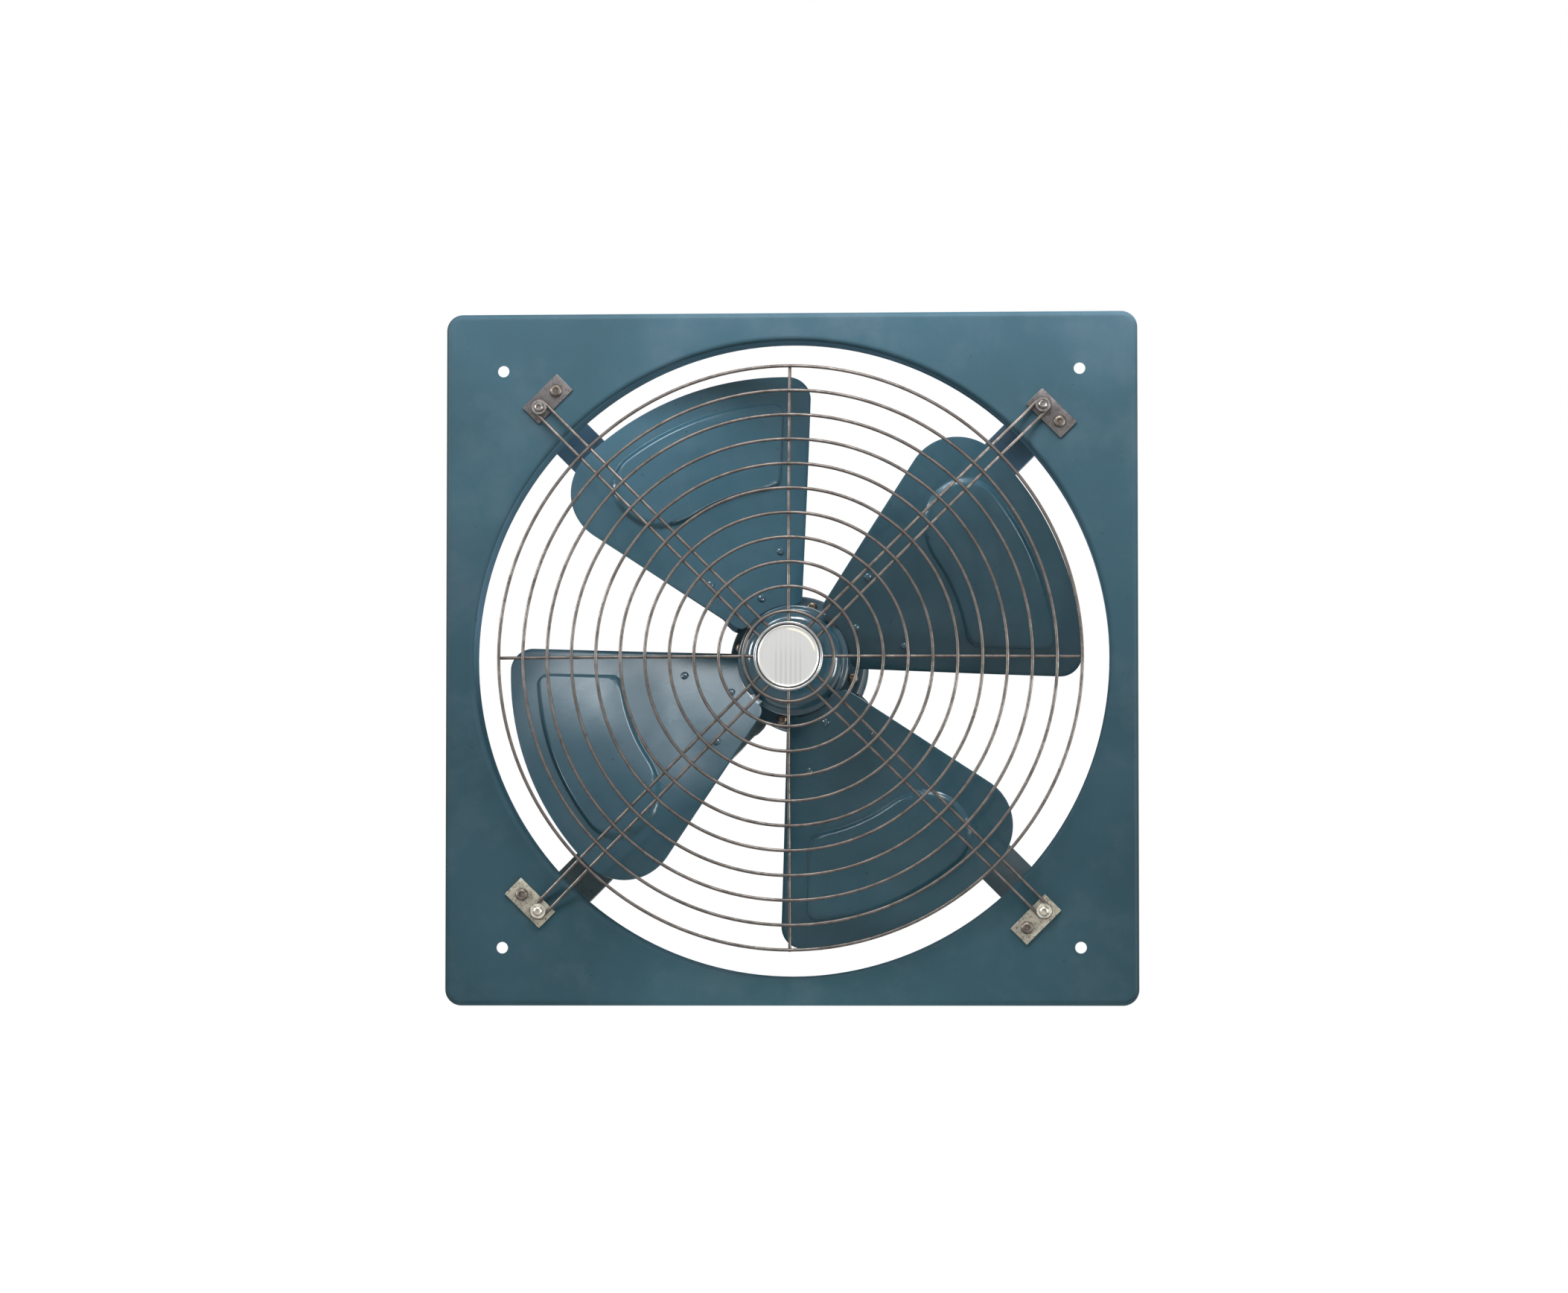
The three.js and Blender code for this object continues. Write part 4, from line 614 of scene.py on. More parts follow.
def slab(half_x, half_z, corner, front, back, x=0.0, z=0.0, steps=8):
    """A plate with round corners from y = front to y = back, round the point [x, z]."""
    outline = rounded_square(half_x, half_z, corner, steps)
    return skin([[(u + x, y, v + z) for u, v in outline] for y in (front, back)], caps=(0, 1))


def dress(piece, material, crease=35):
    make_plain(piece, crease)
    piece.data.materials.append(material)


def turned_piece(name, profile, material, segments=96, crease=35):
    """A finished piece that is round about the shaft."""
    piece = solid_piece(name, revolved(profile, segments))
    dress(piece, material, crease)
    return piece


cover_low = box_mm("motor_front_cover")[0]
cover_front = cover_low.y + HOUSING_REACH
step_front = cover_front - STEP_HEIGHT
cover_back = cover_front + COVER_DEPTH
cover_profile = [
    (COVER_BORE, cover_low.y),
    *arc(HOUSING_RADIUS - COVER_EDGE, cover_low.y + COVER_EDGE, COVER_EDGE, 270, 360),
    *arc(HOUSING_RADIUS + COVER_EDGE, step_front - COVER_EDGE, COVER_EDGE, 180, 90),
    *arc(STEP_RADIUS - STEP_EDGE, step_front + STEP_EDGE, STEP_EDGE, 270, 350),
    *arc(MOTOR_RADIUS - COVER_EDGE, cover_front + COVER_EDGE, COVER_EDGE, 270, 360),
    (MOTOR_RADIUS, cover_back), (MOTOR_RADIUS - SKIRT_WALL, cover_back),
    (MOTOR_RADIUS - SKIRT_WALL, cover_front + COVER_WALL), (COVER_BORE, cover_front + COVER_WALL),
]
cast_paint = enamel("cast_paint", CAST_PAINT, 0.14, 0.42, 0.22, 0.2)
ear_middle = (MOTOR_RADIUS - EAR_LAP + EAR_REACH) / 2
ear_front, ear_back = cover_front + 0.02, cover_front + EAR_THICKNESS
ear = slab(EAR_REACH - ear_middle, ARM_HALF_WIDTH, EAR_CORNER, ear_front, ear_back, ear_middle)
ears = new_piece("cover_ears", *ear)
soften(ears, 1.0, 3)
copy_round(ears, FIRST_CORNER, cast_paint)
cover = turned_piece("motor_front_cover_casting", cover_profile, cast_paint)
for piece in (cover, ears):
    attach(piece, "frame")
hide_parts("motor_front_cover")

# ---- Inside the motor ----
# Laminated cores, varnished copper windings, two ball bearings and the ground shaft with its key.
# The closed shell hides them, so the CAD solids stay and take their real finishes.

# Plated or bare metal: cloudy tarnish between a bright and a dull tone, and stains in spots
worn_metal, given = start_effect("worn_metal", ("Bright", "Dull", "Stain"), ("Stained", "Scale", "Roughness"))
tree, place = worn_metal, scaled(worn_metal, given["Place"], given["Scale"])
cloudy = mask(tree, noise(tree, place, 1.0, 5.0, 0.6), 0.34, 0.66)
base = mix_colour(tree, cloudy, given["Bright"], given["Dull"])
spotted = mask(tree, noise(tree, place, 4.6, 3.0, 0.6), 0.56, 0.64)
spotted = number(tree, "MULTIPLY", spotted, given["Stained"])
dulled = number(tree, "MULTIPLY_ADD", cloudy, 0.12, number(tree, "MULTIPLY", spotted, 0.3))
stained = mix_colour(tree, spotted, base, given["Stain"])
grain = noise(tree, place, 9.0, 3.0, 0.6)
end_effect(tree, stained, number(tree, "ADD", given["Roughness"], dulled), grain)


def metal(name, bright, dull, stain, stained, scale, roughness, bump=0.08, **shader):
    values = {"Bright": bright, "Dull": dull, "Stain": stain}
    values |= {"Stained": stained, "Scale": scale, "Roughness": roughness}
    return finish(name, worn_metal, values, bump, 0.0004, **{"Metallic": 1.0, **shader})


def dress_node(name, material):
    """Gives a CAD solid its finish, and leaves its shape."""
    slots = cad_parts[name].data.materials
    slots.clear()
    slots.append(material)


RUST, OIL = rgb(96, 66, 46), rgb(70, 58, 40)
inside = {
    metal("ground_steel", rgb(196, 197, 198), rgb(168, 170, 172), OIL, 0.15, 90.0, 0.22):
        ["shaft", "shaft_key"],
    metal("bearing_steel", rgb(206, 208, 210), rgb(182, 184, 186), OIL, 0.2, 160.0, 0.16):
        [end + part for end in ("front_", "rear_") for part in ("outer_race", "inner_race", "ball_set")],
    metal("core_laminations", rgb(120, 122, 125), rgb(92, 94, 98), RUST, 0.35, 220.0, 0.44):
        ["stator_core", "rotor_core"],
    metal("varnished_copper", rgb(196, 118, 72), rgb(150, 82, 46), OIL, 0.3, 420.0, 0.34):
        ["front_winding", "rear_winding"],
}
for material, names in inside.items():
    for name in names:
        dress_node(name, material)

# ---- Motor's shell and rear cover ----
# The shell is rolled steel sheet with a pressed bead near each end. The rear cover is a die-cast dish like
# the front one. Both are painted with the fan's enamel.

SHELL_WALL, BEAD_HEIGHT, BEAD_FROM_END = 2.0, 1.2, 12.0
BEAD = ((-5.0, 0.0), (-3.4, 0.35), (-1.0, BEAD_HEIGHT), (1.0, BEAD_HEIGHT), (3.4, 0.35), (5.0, 0.0))
REAR_FLAT, REAR_BEND, REAR_WALL = 14.0, 4.0, 8.0
shell_low, shell_high = box_mm("motor_shell")
rear_low, rear_high = box_mm("motor_rear_cover")
radius = MOTOR_RADIUS - BEAD_HEIGHT
beads = [
    (radius + height, middle + along)
    for middle in (shell_low.y + BEAD_FROM_END, shell_high.y - BEAD_FROM_END) for along, height in BEAD
]
shell_profile = [
    (radius - SHELL_WALL, shell_low.y), (radius, shell_low.y), *beads,
    (radius, shell_high.y), (radius - SHELL_WALL, shell_high.y),
]
shell_enamel = enamel("shell_enamel", rgb(48, 74, 82), 0.16, 0.42, 0.1, 0.05)
shell = turned_piece("motor_shell_sheet", shell_profile, shell_enamel)
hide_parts("motor_shell")
rear_inside = rear_high.y - REAR_WALL
rear_profile = [
    (0.0, rear_high.y), (MOTOR_RADIUS - REAR_FLAT, rear_high.y),
    *arc(MOTOR_RADIUS - REAR_FLAT - 0.5, rear_high.y - 0.8, 0.8, 90, 20, 3),
    *arc(MOTOR_RADIUS - REAR_BEND, rear_high.y - 1.4 - REAR_BEND, REAR_BEND, 90, 0),
    (MOTOR_RADIUS, rear_low.y), (MOTOR_RADIUS - SKIRT_WALL, rear_low.y),
    (MOTOR_RADIUS - SKIRT_WALL, rear_inside), (0.0, rear_inside),
]
rear_cover = turned_piece("motor_rear_cover_casting", rear_profile, cast_paint)
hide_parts("motor_rear_cover")
for piece in (shell, rear_cover):
    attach(piece, "frame")

# ---- Through bolts and arm bolts ----
# Four long bolts clamp the covers on the shell, and one short bolt holds each arm to its ear.
# They are round-headed with a recess, and browned by age in cloudy bright and dull tones.

FIRST_THROUGH_BOLT, THROUGH_BOLT_AT = 75.0, 51.1
RECESS_DEPTH, WASHER_SHEET = 1.1, 1.2
DOME = ((0.55, 0.0), (0.78, 0.16), (0.94, 0.42), (1.0, 0.72))
BROWN_STAIN = rgb(46, 40, 37)


def moved(solid, x, z):
    points, faces = solid
    return [(px + x, py, pz + z) for px, py, pz in points], faces


def screws(name, cad_node, place, head, shank_radius, first_angle, material, washer=0.0):
    """Four screws along Y: a domed head with a recess in its crown, a washer if any, and a shank.

    The head is its back, its radius and its height, and the CAD solid gives the shank's end."""
    back, radius, height = head
    front, shank_end = back - height, box_mm(cad_node)[1].y
    profile = [(0.0, front + RECESS_DEPTH), (radius * 0.34, front + RECESS_DEPTH)]
    profile += [(radius * 0.42, front + 0.06)]
    profile += [(radius * out, front + max(height * down, 0.02)) for out, down in DOME]
    if washer:
        profile += [(radius, back - WASHER_SHEET), (washer - 0.2, back - WASHER_SHEET)]
        profile += [(washer, back - WASHER_SHEET + 0.2)]
        radius = washer
    profile += [(radius, back), (shank_radius, back), (shank_radius, shank_end), (0.0, shank_end)]
    piece = solid_piece(name, moved(revolved(profile, 32), *place))
    copy_round(piece, first_angle, material)
    return piece


browned = metal("browned_bolts", rgb(138, 128, 116), rgb(88, 80, 73), BROWN_STAIN, 0.8, 260.0, 0.34)
place, head = (THROUGH_BOLT_AT, 0.0), (cover_front - SEAT_GAP, 4.6, 3.4)
through_bolts = screws("through_bolts", "through_bolt_1", place, head, 2.5, FIRST_THROUGH_BOLT, browned)
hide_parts(*["through_bolt_%d" % (k + 1) for k in range(4)])
place, head = (ARM_BOLT_AT, ARM_BOLT_ASIDE), (arm_front - SEAT_GAP, 5.5, 4.0)
arm_bolts = screws("arm_bolts", "arm_bolt_upper_right", place, head, 3.0, FIRST_CORNER, browned)
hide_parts(*["arm_bolt_" + corner for corner in CORNER_NAMES])
for piece in (through_bolts, arm_bolts):
    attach(piece, "frame")

# ---- Hub and spider ----
# A pressed hub with a rounded edge and a ledge, a boss for the shaft, and four arms that follow the blades'
# twist behind them. It is spray-painted with the blades.

IMPELLER_Y = 15.0
ROOT_RADIUS, TIP_RADIUS = 49.0, 251.0
ROOT_PITCH, TIP_PITCH = 28.0, 17.0
BLADE_SPAN = 59.0
HALF_SPAN = math.radians(BLADE_SPAN / 2)
CAMBER, CAMBER_REACH = 7.0, 66.0
SPIDER_TIP, SPIDER_SPAN, SPIDER_SHEET = 110.0, 50.0, 2.5
SPIDER_INNER, SPIDER_CORNER, BLADE_GAP = 44.8, 14.0, 0.5
BLADE_SHEET = 1.6
FIRST_BLADE = 117.5
ROOT_CORNER = 8.0
HUB_BORE, HUB_BOSS, HUB_FACE, HUB_ROUND = 7.9, 15.0, 31.0, 32.0
HUB_EDGE, HUB_SKIRT, HUB_WALL, LEDGE_EDGE = 48.2, 30.0, 2.5, 1.6


def smooth(low, high, value):
    t = min(max((value - low) / (high - low), 0.0), 1.0)
    return t * t * (3 - 2 * t)


def blade_middle(radius, angle):
    """The middle face of a blade that lies along X, at a radius and an angle towards its round edge."""
    share = (radius - ROOT_RADIUS) / (TIP_RADIUS - ROOT_RADIUS)
    travel = radius * math.tan(math.radians(ROOT_PITCH + (TIP_PITCH - ROOT_PITCH) * share))
    cupped = CAMBER * smooth(SPIDER_TIP, SPIDER_TIP + CAMBER_REACH, radius) * (1 - (angle / HALF_SPAN) ** 2)
    return Vector((radius * math.cos(angle), IMPELLER_Y - travel * angle - cupped, radius * math.sin(angle)))


def blade_normal(radius, angle):
    """The face's direction there, towards the guard."""
    step = 1e-3
    here = blade_middle(radius, angle)
    outwards = blade_middle(radius * (1 + step), angle) - here
    sideways = blade_middle(radius, angle + step) - here
    return -sideways.cross(outwards).normalized()


def edge_angle(radius, overhang, corner, span, inner, outer):
    """The angle of a blade's edge at a radius, with round corners at the tip and at the root."""
    half = math.radians(span / 2)

    def rounded(centre, bend):
        share = (radius ** 2 + centre ** 2 - bend ** 2) / (2 * radius * centre)
        return half - math.asin((bend - overhang) / centre) + math.acos(min(1.0, share))

    def meets(centre, bend):
        return math.hypot(math.sqrt(centre ** 2 - (bend - overhang) ** 2), overhang)

    if radius > meets(outer - corner, corner):
        return rounded(outer - corner, corner)
    if radius < meets(inner + ROOT_CORNER, ROOT_CORNER):
        return rounded(inner + ROOT_CORNER, ROOT_CORNER)
    return half + math.asin(overhang / radius)


def twisted_sheet(name, radii, angles_at, lift_at, thickness, *edge):
    """A sheet along the blades' twist, with its angles at each radius and its lift from their middle face."""
    rows = [
        [blade_middle(radius, a) + blade_normal(radius, a) * lift_at(radius, a) for a in angles_at(radius)]
        for radius in radii
    ]
    piece = new_piece(name, *skin(rows, ring=False))
    thicken(piece, thickness)
    soften(piece, *edge)
    return piece


hub_back = box_mm("hub_spider")[1].y - 3.3
hub_inside = HUB_EDGE - HUB_WALL
hub_profile = [
    (HUB_BORE, 0.0), (HUB_FACE, 0.0), *arc(HUB_ROUND, 11.0, 11.0, 275, 340, 12),
    *arc(45.0, 9.2, LEDGE_EDGE, 165, 100, 4), *arc(HUB_EDGE - LEDGE_EDGE, 12.5, LEDGE_EDGE, 280, 360, 5),
    (HUB_EDGE, HUB_SKIRT), (hub_inside, HUB_SKIRT), (hub_inside, 15.5), *arc(HUB_ROUND, 11.5, 8.0, 340, 275),
    (HUB_BOSS, 3.2), (HUB_BOSS, hub_back), (HUB_BORE, hub_back),
]
spider_enamel = enamel("spider_enamel", rgb(36, 66, 74), 0.05, 0.14, 0.06)
hub = turned_piece("hub_pressing", hub_profile, spider_enamel, 128, 50)


def arm_angles(radius):
    edge = edge_angle(radius, 0.0, SPIDER_CORNER, SPIDER_SPAN, SPIDER_INNER - ROOT_CORNER, SPIDER_TIP)
    return [edge * (2 * j / 20 - 1) for j in range(21)]


reach = SPIDER_TIP - SPIDER_INNER
radii = [SPIDER_INNER + reach * math.sin(math.pi / 2 * i / 24) for i in range(25)]
behind = -(BLADE_SHEET / 2 + BLADE_GAP + SPIDER_SHEET / 2)
spider = twisted_sheet("spider_arms", radii, arm_angles, lambda radius, angle: behind, SPIDER_SHEET, 0.5)
copy_round(spider, FIRST_BLADE, spider_enamel)
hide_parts("hub_spider")
for piece in (hub, spider):
    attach(piece, "impeller")

# ---- Blades ----
# Four blades of 1.6 mm sheet, twisted and cambered, each with a raised panel pressed in its outer half.
# They carry a satin coat of enamel with an orange-peel skin and a film of dust.

STRAIGHT_EDGE, ROUND_EDGE = (4.5, 19.0), (3.5, 45.0)
PANEL_BOTTOM, PANEL_TOP = 155.0, 224.0
PANEL_INSET, PANEL_END, PANEL_NEAR_CORNER = 21.5, 50.0, 7.0
PANEL_HEIGHT, PANEL_STEP = 4.0, 4.0
ROOT_ROWS, TIP_ROWS, EDGE_SLIVER = 14, 24, 0.01
BLADE_RADII = ((150.0, 14), (157.0, 14), (222.0, 20), (229.0, 14))
BLADE_SHARES = ((0.085, 5), (0.165, 28), (0.62, 12), (0.87, 46), (1.0, 8))


def panel_lift(radius, angle):
    """The height of the pressed panel, with one square end, one round end and a soft step round it."""
    mid, half_height = (PANEL_BOTTOM + PANEL_TOP) / 2, (PANEL_TOP - PANEL_BOTTOM) / 2
    start = -HALF_SPAN * radius + radius * math.asin(PANEL_INSET / radius)
    end = (-HALF_SPAN + math.radians(PANEL_END)) * radius
    u, v = angle * radius - (start + end) / 2, radius - mid
    corner = half_height if u > 0 else PANEL_NEAR_CORNER
    du = abs(u) - (end - start) / 2 + corner
    dv = abs(v) - half_height + corner
    outside = math.hypot(max(du, 0.0), max(dv, 0.0)) + min(max(du, dv), 0.0) - corner
    return PANEL_HEIGHT * (1 - smooth(0.0, PANEL_STEP, outside))


def stretches(start, *parts):
    """Numbers from the start through parts of [end, steps], evenly spaced in each."""
    values = [start]
    for end, steps in parts:
        first = values[-1]
        values += [first + (end - first) * (k + 1) / steps for k in range(steps)]
    return values


def blade_angles(radius):
    low = -edge_angle(radius, *STRAIGHT_EDGE, BLADE_SPAN, ROOT_RADIUS, TIP_RADIUS)
    high = edge_angle(radius, *ROUND_EDGE, BLADE_SPAN, ROOT_RADIUS, TIP_RADIUS)
    return [low + (high - low) * share for share in stretches(0.0, *BLADE_SHARES)]


# The rows and columns lie close together across the panel's step and at the round corners
eased = [1 - math.cos(math.pi / 2 * k / ROOT_ROWS) for k in range(ROOT_ROWS)]
radii = [ROOT_RADIUS + EDGE_SLIVER + ROOT_CORNER * share for share in eased]
radii += stretches(ROOT_RADIUS + ROOT_CORNER, *BLADE_RADII)
reach = TIP_RADIUS - EDGE_SLIVER - radii[-1]
radii += [radii[-1] + reach * math.sin(math.pi / 2 * (k + 1) / TIP_ROWS) for k in range(TIP_ROWS)]
blades = twisted_sheet("impeller_blades", radii, blade_angles, panel_lift, BLADE_SHEET, 0.3, 2, 60)
copy_round(blades, FIRST_BLADE, enamel("blade_enamel", rgb(36, 68, 76), 0.03, 0.23, 0.07, 0.3))
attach(blades, "impeller")
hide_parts(*["blade_%d" % (k + 1) for k in range(4)])

# ---- Rivets ----
# Three steel rivets hold each blade to its spider arm: one near the hub and two further out.
# Their domed heads are painted over with the blade.

RIVETS = ((61.0, 0.0), (97.0, -20.0), (97.0, 20.0))
RIVET_RADIUS, RIVET_HEIGHT = 3.7, 2.1

rivet_heads, given = start_geometry("rivet_heads", {"Radius": "Float", "Height": "Float"})
tree = rivet_heads
dome = add_node(tree, "GeometryNodeMeshUVSphere", {"Segments": 28, "Rings": 14, "Radius": 1.0}).outputs[0]
faced = add_node(tree, "GeometryNodeInputNamedAttribute", {"Name": "facing"}, data_type="FLOAT_VECTOR")
standing = add_node(tree, "FunctionNodeAlignRotationToVector", {"Vector": faced.outputs[0]}, axis="Z")
size = combined(tree, X=given["Radius"], Y=given["Radius"], Z=given["Height"])
heads = on_points(tree, given["Geometry"], dome, Rotation=standing.outputs[0], Scale=size)
end_geometry(tree, heads, given)

spots, facing = [], []
for radius, degrees in RIVETS:
    angle = math.radians(degrees)
    normal = blade_normal(radius, angle)
    for reach in (BLADE_SHEET / 2, -(BLADE_SHEET / 2 + BLADE_GAP + SPIDER_SHEET)):
        spots.append(blade_middle(radius, angle) + normal * reach)
        facing.append(normal)
rivets = new_piece("blade_rivets", spots)
directions = rivets.data.attributes.new("facing", "FLOAT_VECTOR", "POINT")
for entry, normal in zip(directions.data, facing):
    entry.vector = normal
sizes = {"Radius": RIVET_RADIUS * MM, "Height": RIVET_HEIGHT * MM}
run_nodes(rivets, rivet_heads, {**sizes, "Material": spider_enamel})
copy_round(rivets, FIRST_BLADE, spider_enamel)
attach(rivets, "impeller")

# ---- Nut and washer on the shaft ----
# A zinc-plated nut and washer clamp the hub against the shaft's shoulder. The guard's boss hides them from
# the front, so the CAD solids stay.

zinc = metal("zinc_plate", rgb(146, 144, 138), rgb(104, 102, 98), RUST, 0.35, 120.0, 0.36, bump=0.12)
for name in ("hub_washer", "hub_nut"):
    dress_node(name, zinc)

# ---- Guard wires ----
# Eleven rings of 2.8 mm wire are spot-welded on four single and four double spokes. Each double spoke is one
# hairpin that turns round its screw. The wire is plated, and dulled to a brownish grey.

WIRE_RADIUS, WIRE_CREASE = 1.4, 60
WELD_SINK, WELD_RADIUS = 0.6, 1.6
RING_COUNT = 11
FIRST_RING, OUTER_RING = 39.0, 252.0
RING_PITCH = (OUTER_RING - FIRST_RING) / (RING_COUNT - 1)
SPOKE_START, SPOKE_END = 17.0, OUTER_RING + 0.7
GUARD_TOP = plate_front - 31.0
GUARD_DISH = 18.0
CLIP_SHEET = 1.5
SPOKE_REST = plate_front - SEAT_GAP - CLIP_SHEET - SEAT_GAP - WIRE_RADIUS
SPOKE_LANDING = CLIP_AT - 17.0
HAIRPIN_HALF, HAIRPIN_BEND = 5.75, 3.0


def spoke_y(radius):
    """The spokes' place along the shaft: a shallow dish, then straight down to the clip."""
    if radius <= OUTER_RING:
        return GUARD_TOP + GUARD_DISH * (radius / OUTER_RING) ** 2
    share = min((radius - OUTER_RING) / (SPOKE_LANDING - OUTER_RING), 1.0)
    return GUARD_TOP + GUARD_DISH + (SPOKE_REST - GUARD_TOP - GUARD_DISH) * share


def drawn_wire(tree, line, given):
    """Round wire along a curve."""
    section = add_node(tree, "GeometryNodeCurvePrimitiveCircle", {
        "Resolution": 14, "Radius": given["Wire radius"],
    })
    values = {"Curve": line, "Profile Curve": section.outputs[0], "Fill Caps": True}
    return add_node(tree, "GeometryNodeCurveToMesh", values).outputs[0]


# Wire along the edges of a path
bent_wire, given = start_geometry("bent_wire", {"Wire radius": "Float"})
line = add_node(bent_wire, "GeometryNodeMeshToCurve", {0: given["Geometry"]}).outputs[0]
end_geometry(bent_wire, drawn_wire(bent_wire, line, given), given)

# The rings: circles at an even pitch, dished like the spokes and lying on their front
RING_SIZES = {
    "First radius": FIRST_RING, "Pitch": RING_PITCH, "Front": GUARD_TOP - 2 * WIRE_RADIUS + WELD_SINK,
    "Dish": GUARD_DISH, "Dish radius": OUTER_RING, "Wire radius": WIRE_RADIUS,
}
guard_rings, given = start_geometry("guard_rings", {"Rings": "Int", **dict.fromkeys(RING_SIZES, "Float")})
tree = guard_rings
index = add_node(tree, "GeometryNodeInputIndex").outputs[0]
radius = number(tree, "MULTIPLY_ADD", index, given["Pitch"], given["First radius"])
square = number(tree, "POWER", number(tree, "DIVIDE", radius, given["Dish radius"]), 2.0)
height = number(tree, "MULTIPLY_ADD", square, given["Dish"], given["Front"])
spots = add_node(tree, "GeometryNodePoints", {"Count": given["Rings"], "Position": combined(tree, Y=height)})
circle = add_node(tree, "GeometryNodeCurvePrimitiveCircle", {"Resolution": 180, "Radius": 1.0}).outputs[0]
size = combined(tree, X=radius, Y=radius, Z=radius)
placed = on_points(tree, spots.outputs[0], circle, Rotation=(math.pi / 2, 0.0, 0.0), Scale=size)
line = add_node(tree, "GeometryNodeRealizeInstances", {0: placed}).outputs[0]
end_geometry(tree, drawn_wire(tree, line, given), given)

# Weld spots: small squashed beads where a ring crosses a spoke
weld_spots, given = start_geometry("weld_spots", {"Radius": "Float"})
tree = weld_spots
bead = add_node(tree, "GeometryNodeMeshIcoSphere", {"Radius": given["Radius"], "Subdivisions": 3}).outputs[0]
chance = add_node(tree, "FunctionNodeRandomValue", {2: 0.75, 3: 1.15, "Seed": 11}, data_type="FLOAT")
size = combined(tree, X=chance.outputs[1], Y=0.8, Z=chance.outputs[1])
end_geometry(tree, on_points(tree, given["Geometry"], bead, Scale=size), given)

wire_metal = metal(
    "guard_wire", rgb(101, 96, 91), rgb(78, 74, 70), rgb(46, 42, 39), 0.35, 70.0, 0.36, bump=0.06,
    Metallic=0.8, Specular_Tint=rgb(100, 96, 93),
)


def wire_piece(name, path, first_angle):
    """Four bent wires round the shaft."""
    piece = new_piece(name, path, edges=[(k, k + 1) for k in range(len(path) - 1)])
    run_nodes(piece, bent_wire, {"Wire radius": WIRE_RADIUS * MM, "Material": wire_metal})
    copy_round(piece, first_angle, wire_metal, WIRE_CREASE)
    return piece


rings = new_piece("guard_ring_wires", [(0.0, 0.0, 0.0)])
sizes = {label: size * MM for label, size in RING_SIZES.items()}
run_nodes(rings, guard_rings, {"Rings": RING_COUNT, **sizes, "Material": wire_metal})
make_plain(rings, WIRE_CREASE)
radii = [SPOKE_START + (SPOKE_END - SPOKE_START) * k / 24 for k in range(25)]
spokes = wire_piece("guard_single_spokes", [(r, spoke_y(r), 0.0) for r in radii], 0.0)
side = [(r, spoke_y(min(r, OUTER_RING)), -HAIRPIN_HALF) for r in radii[:-1]]
side += [(r, spoke_y(r), -HAIRPIN_HALF) for r in (OUTER_RING + HAIRPIN_BEND, SPOKE_LANDING - HAIRPIN_BEND)]
side += [(SPOKE_LANDING + 2.0, SPOKE_REST, -HAIRPIN_HALF)]
bend = [(CLIP_AT + x, SPOKE_REST, z) for x, z in (polar(HAIRPIN_HALF, -90 + 180 * k / 16) for k in range(17))]
hairpin = side + bend + [(x, y, -z) for x, y, z in reversed(side)]
hairpins = wire_piece("guard_hairpins", hairpin, FIRST_CORNER)
crossings = []
for k in range(RING_COUNT):
    radius = FIRST_RING + k * RING_PITCH
    beside = math.degrees(math.asin(HAIRPIN_HALF / radius))
    for turn in range(0, 360, 90):
        for degrees in (turn, turn + 45 - beside, turn + 45 + beside):
            x, z = polar(radius, degrees)
            crossings.append((x, spoke_y(radius) - WIRE_RADIUS + WELD_SINK / 2, z))
welds = new_piece("guard_weld_spots", crossings)
run_nodes(welds, weld_spots, {"Radius": WELD_RADIUS * MM, "Material": wire_metal})
make_plain(welds, WIRE_CREASE)
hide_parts("wire_guard")
for piece in (rings, spokes, hairpins, welds):
    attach(piece, "frame")

# ---- Guard boss and its disc ----
# A pressed dish with a rolled rim is welded over the spokes' inner ends. A bright brushed disc with a
# turned-up edge is let into it. Both are bare metal.

BOSS_RADIUS, BOSS_RIM, BOSS_SHEET, BOSS_BEND = 30.0, 2.4, 1.2, 1.4
DISC_RADIUS, DISC_LIP, DISC_SHEET = 26.6, 1.1, 0.8
boss_low, boss_high = box_mm("guard_boss")
disc_low, disc_high = box_mm("boss_disc")
boss_steel = metal("boss_steel", rgb(158, 158, 155), rgb(131, 132, 132), rgb(110, 104, 98), 0.12, 140.0, 0.26)
boss = turned_piece("guard_boss_dish", [
    (0.0, boss_high.y), (BOSS_RADIUS - 1.6, boss_high.y),
    *arc(BOSS_RADIUS - BOSS_BEND, boss_high.y - BOSS_BEND, BOSS_BEND, 90, 0),
    *arc(BOSS_RADIUS - BOSS_RIM / 2, boss_low.y + BOSS_RIM / 2, BOSS_RIM / 2, 0, -180, 12),
    *arc(BOSS_RADIUS - BOSS_RIM - 0.6, boss_high.y - BOSS_SHEET - 0.6, 0.6, 0, 90, 4),
    (0.0, boss_high.y - BOSS_SHEET),
], boss_steel, 128)
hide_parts("guard_boss")

# Brushed metal: fine upright lines, broad soft stripes, and a painted highlight in the form of a cream
# crescent near the edge towards the upper right
brushed_metal, given = start_effect("brushed_metal", ("Bright", "Shade", "Painted highlight"), ("Stripes", "Roughness"))
tree, place = brushed_metal, given["Place"]
drawn_out = add_node(tree, "ShaderNodeMapping", {"Vector": place, "Scale": (1400.0, 1400.0, 40.0)}).outputs[0]
lines = noise(tree, drawn_out, 1.0, 3.0, 0.6)
wide = add_node(tree, "ShaderNodeMapping", {"Vector": place, "Scale": (1.0, 1.0, 0.10)}).outputs[0]
waves = {"Vector": wide, "Scale": given["Stripes"], "Distortion": 1.2, "Detail": 2.0}
striped = mask(tree, add_node(tree, "ShaderNodeTexWave", waves).outputs["Fac"], 0.35, 0.95, 0.0, 0.24)
x, y, z = add_node(tree, "ShaderNodeSeparateXYZ", {0: place}).outputs
lower = mask(tree, z, -0.004, 0.012, 1.0, 0.25)
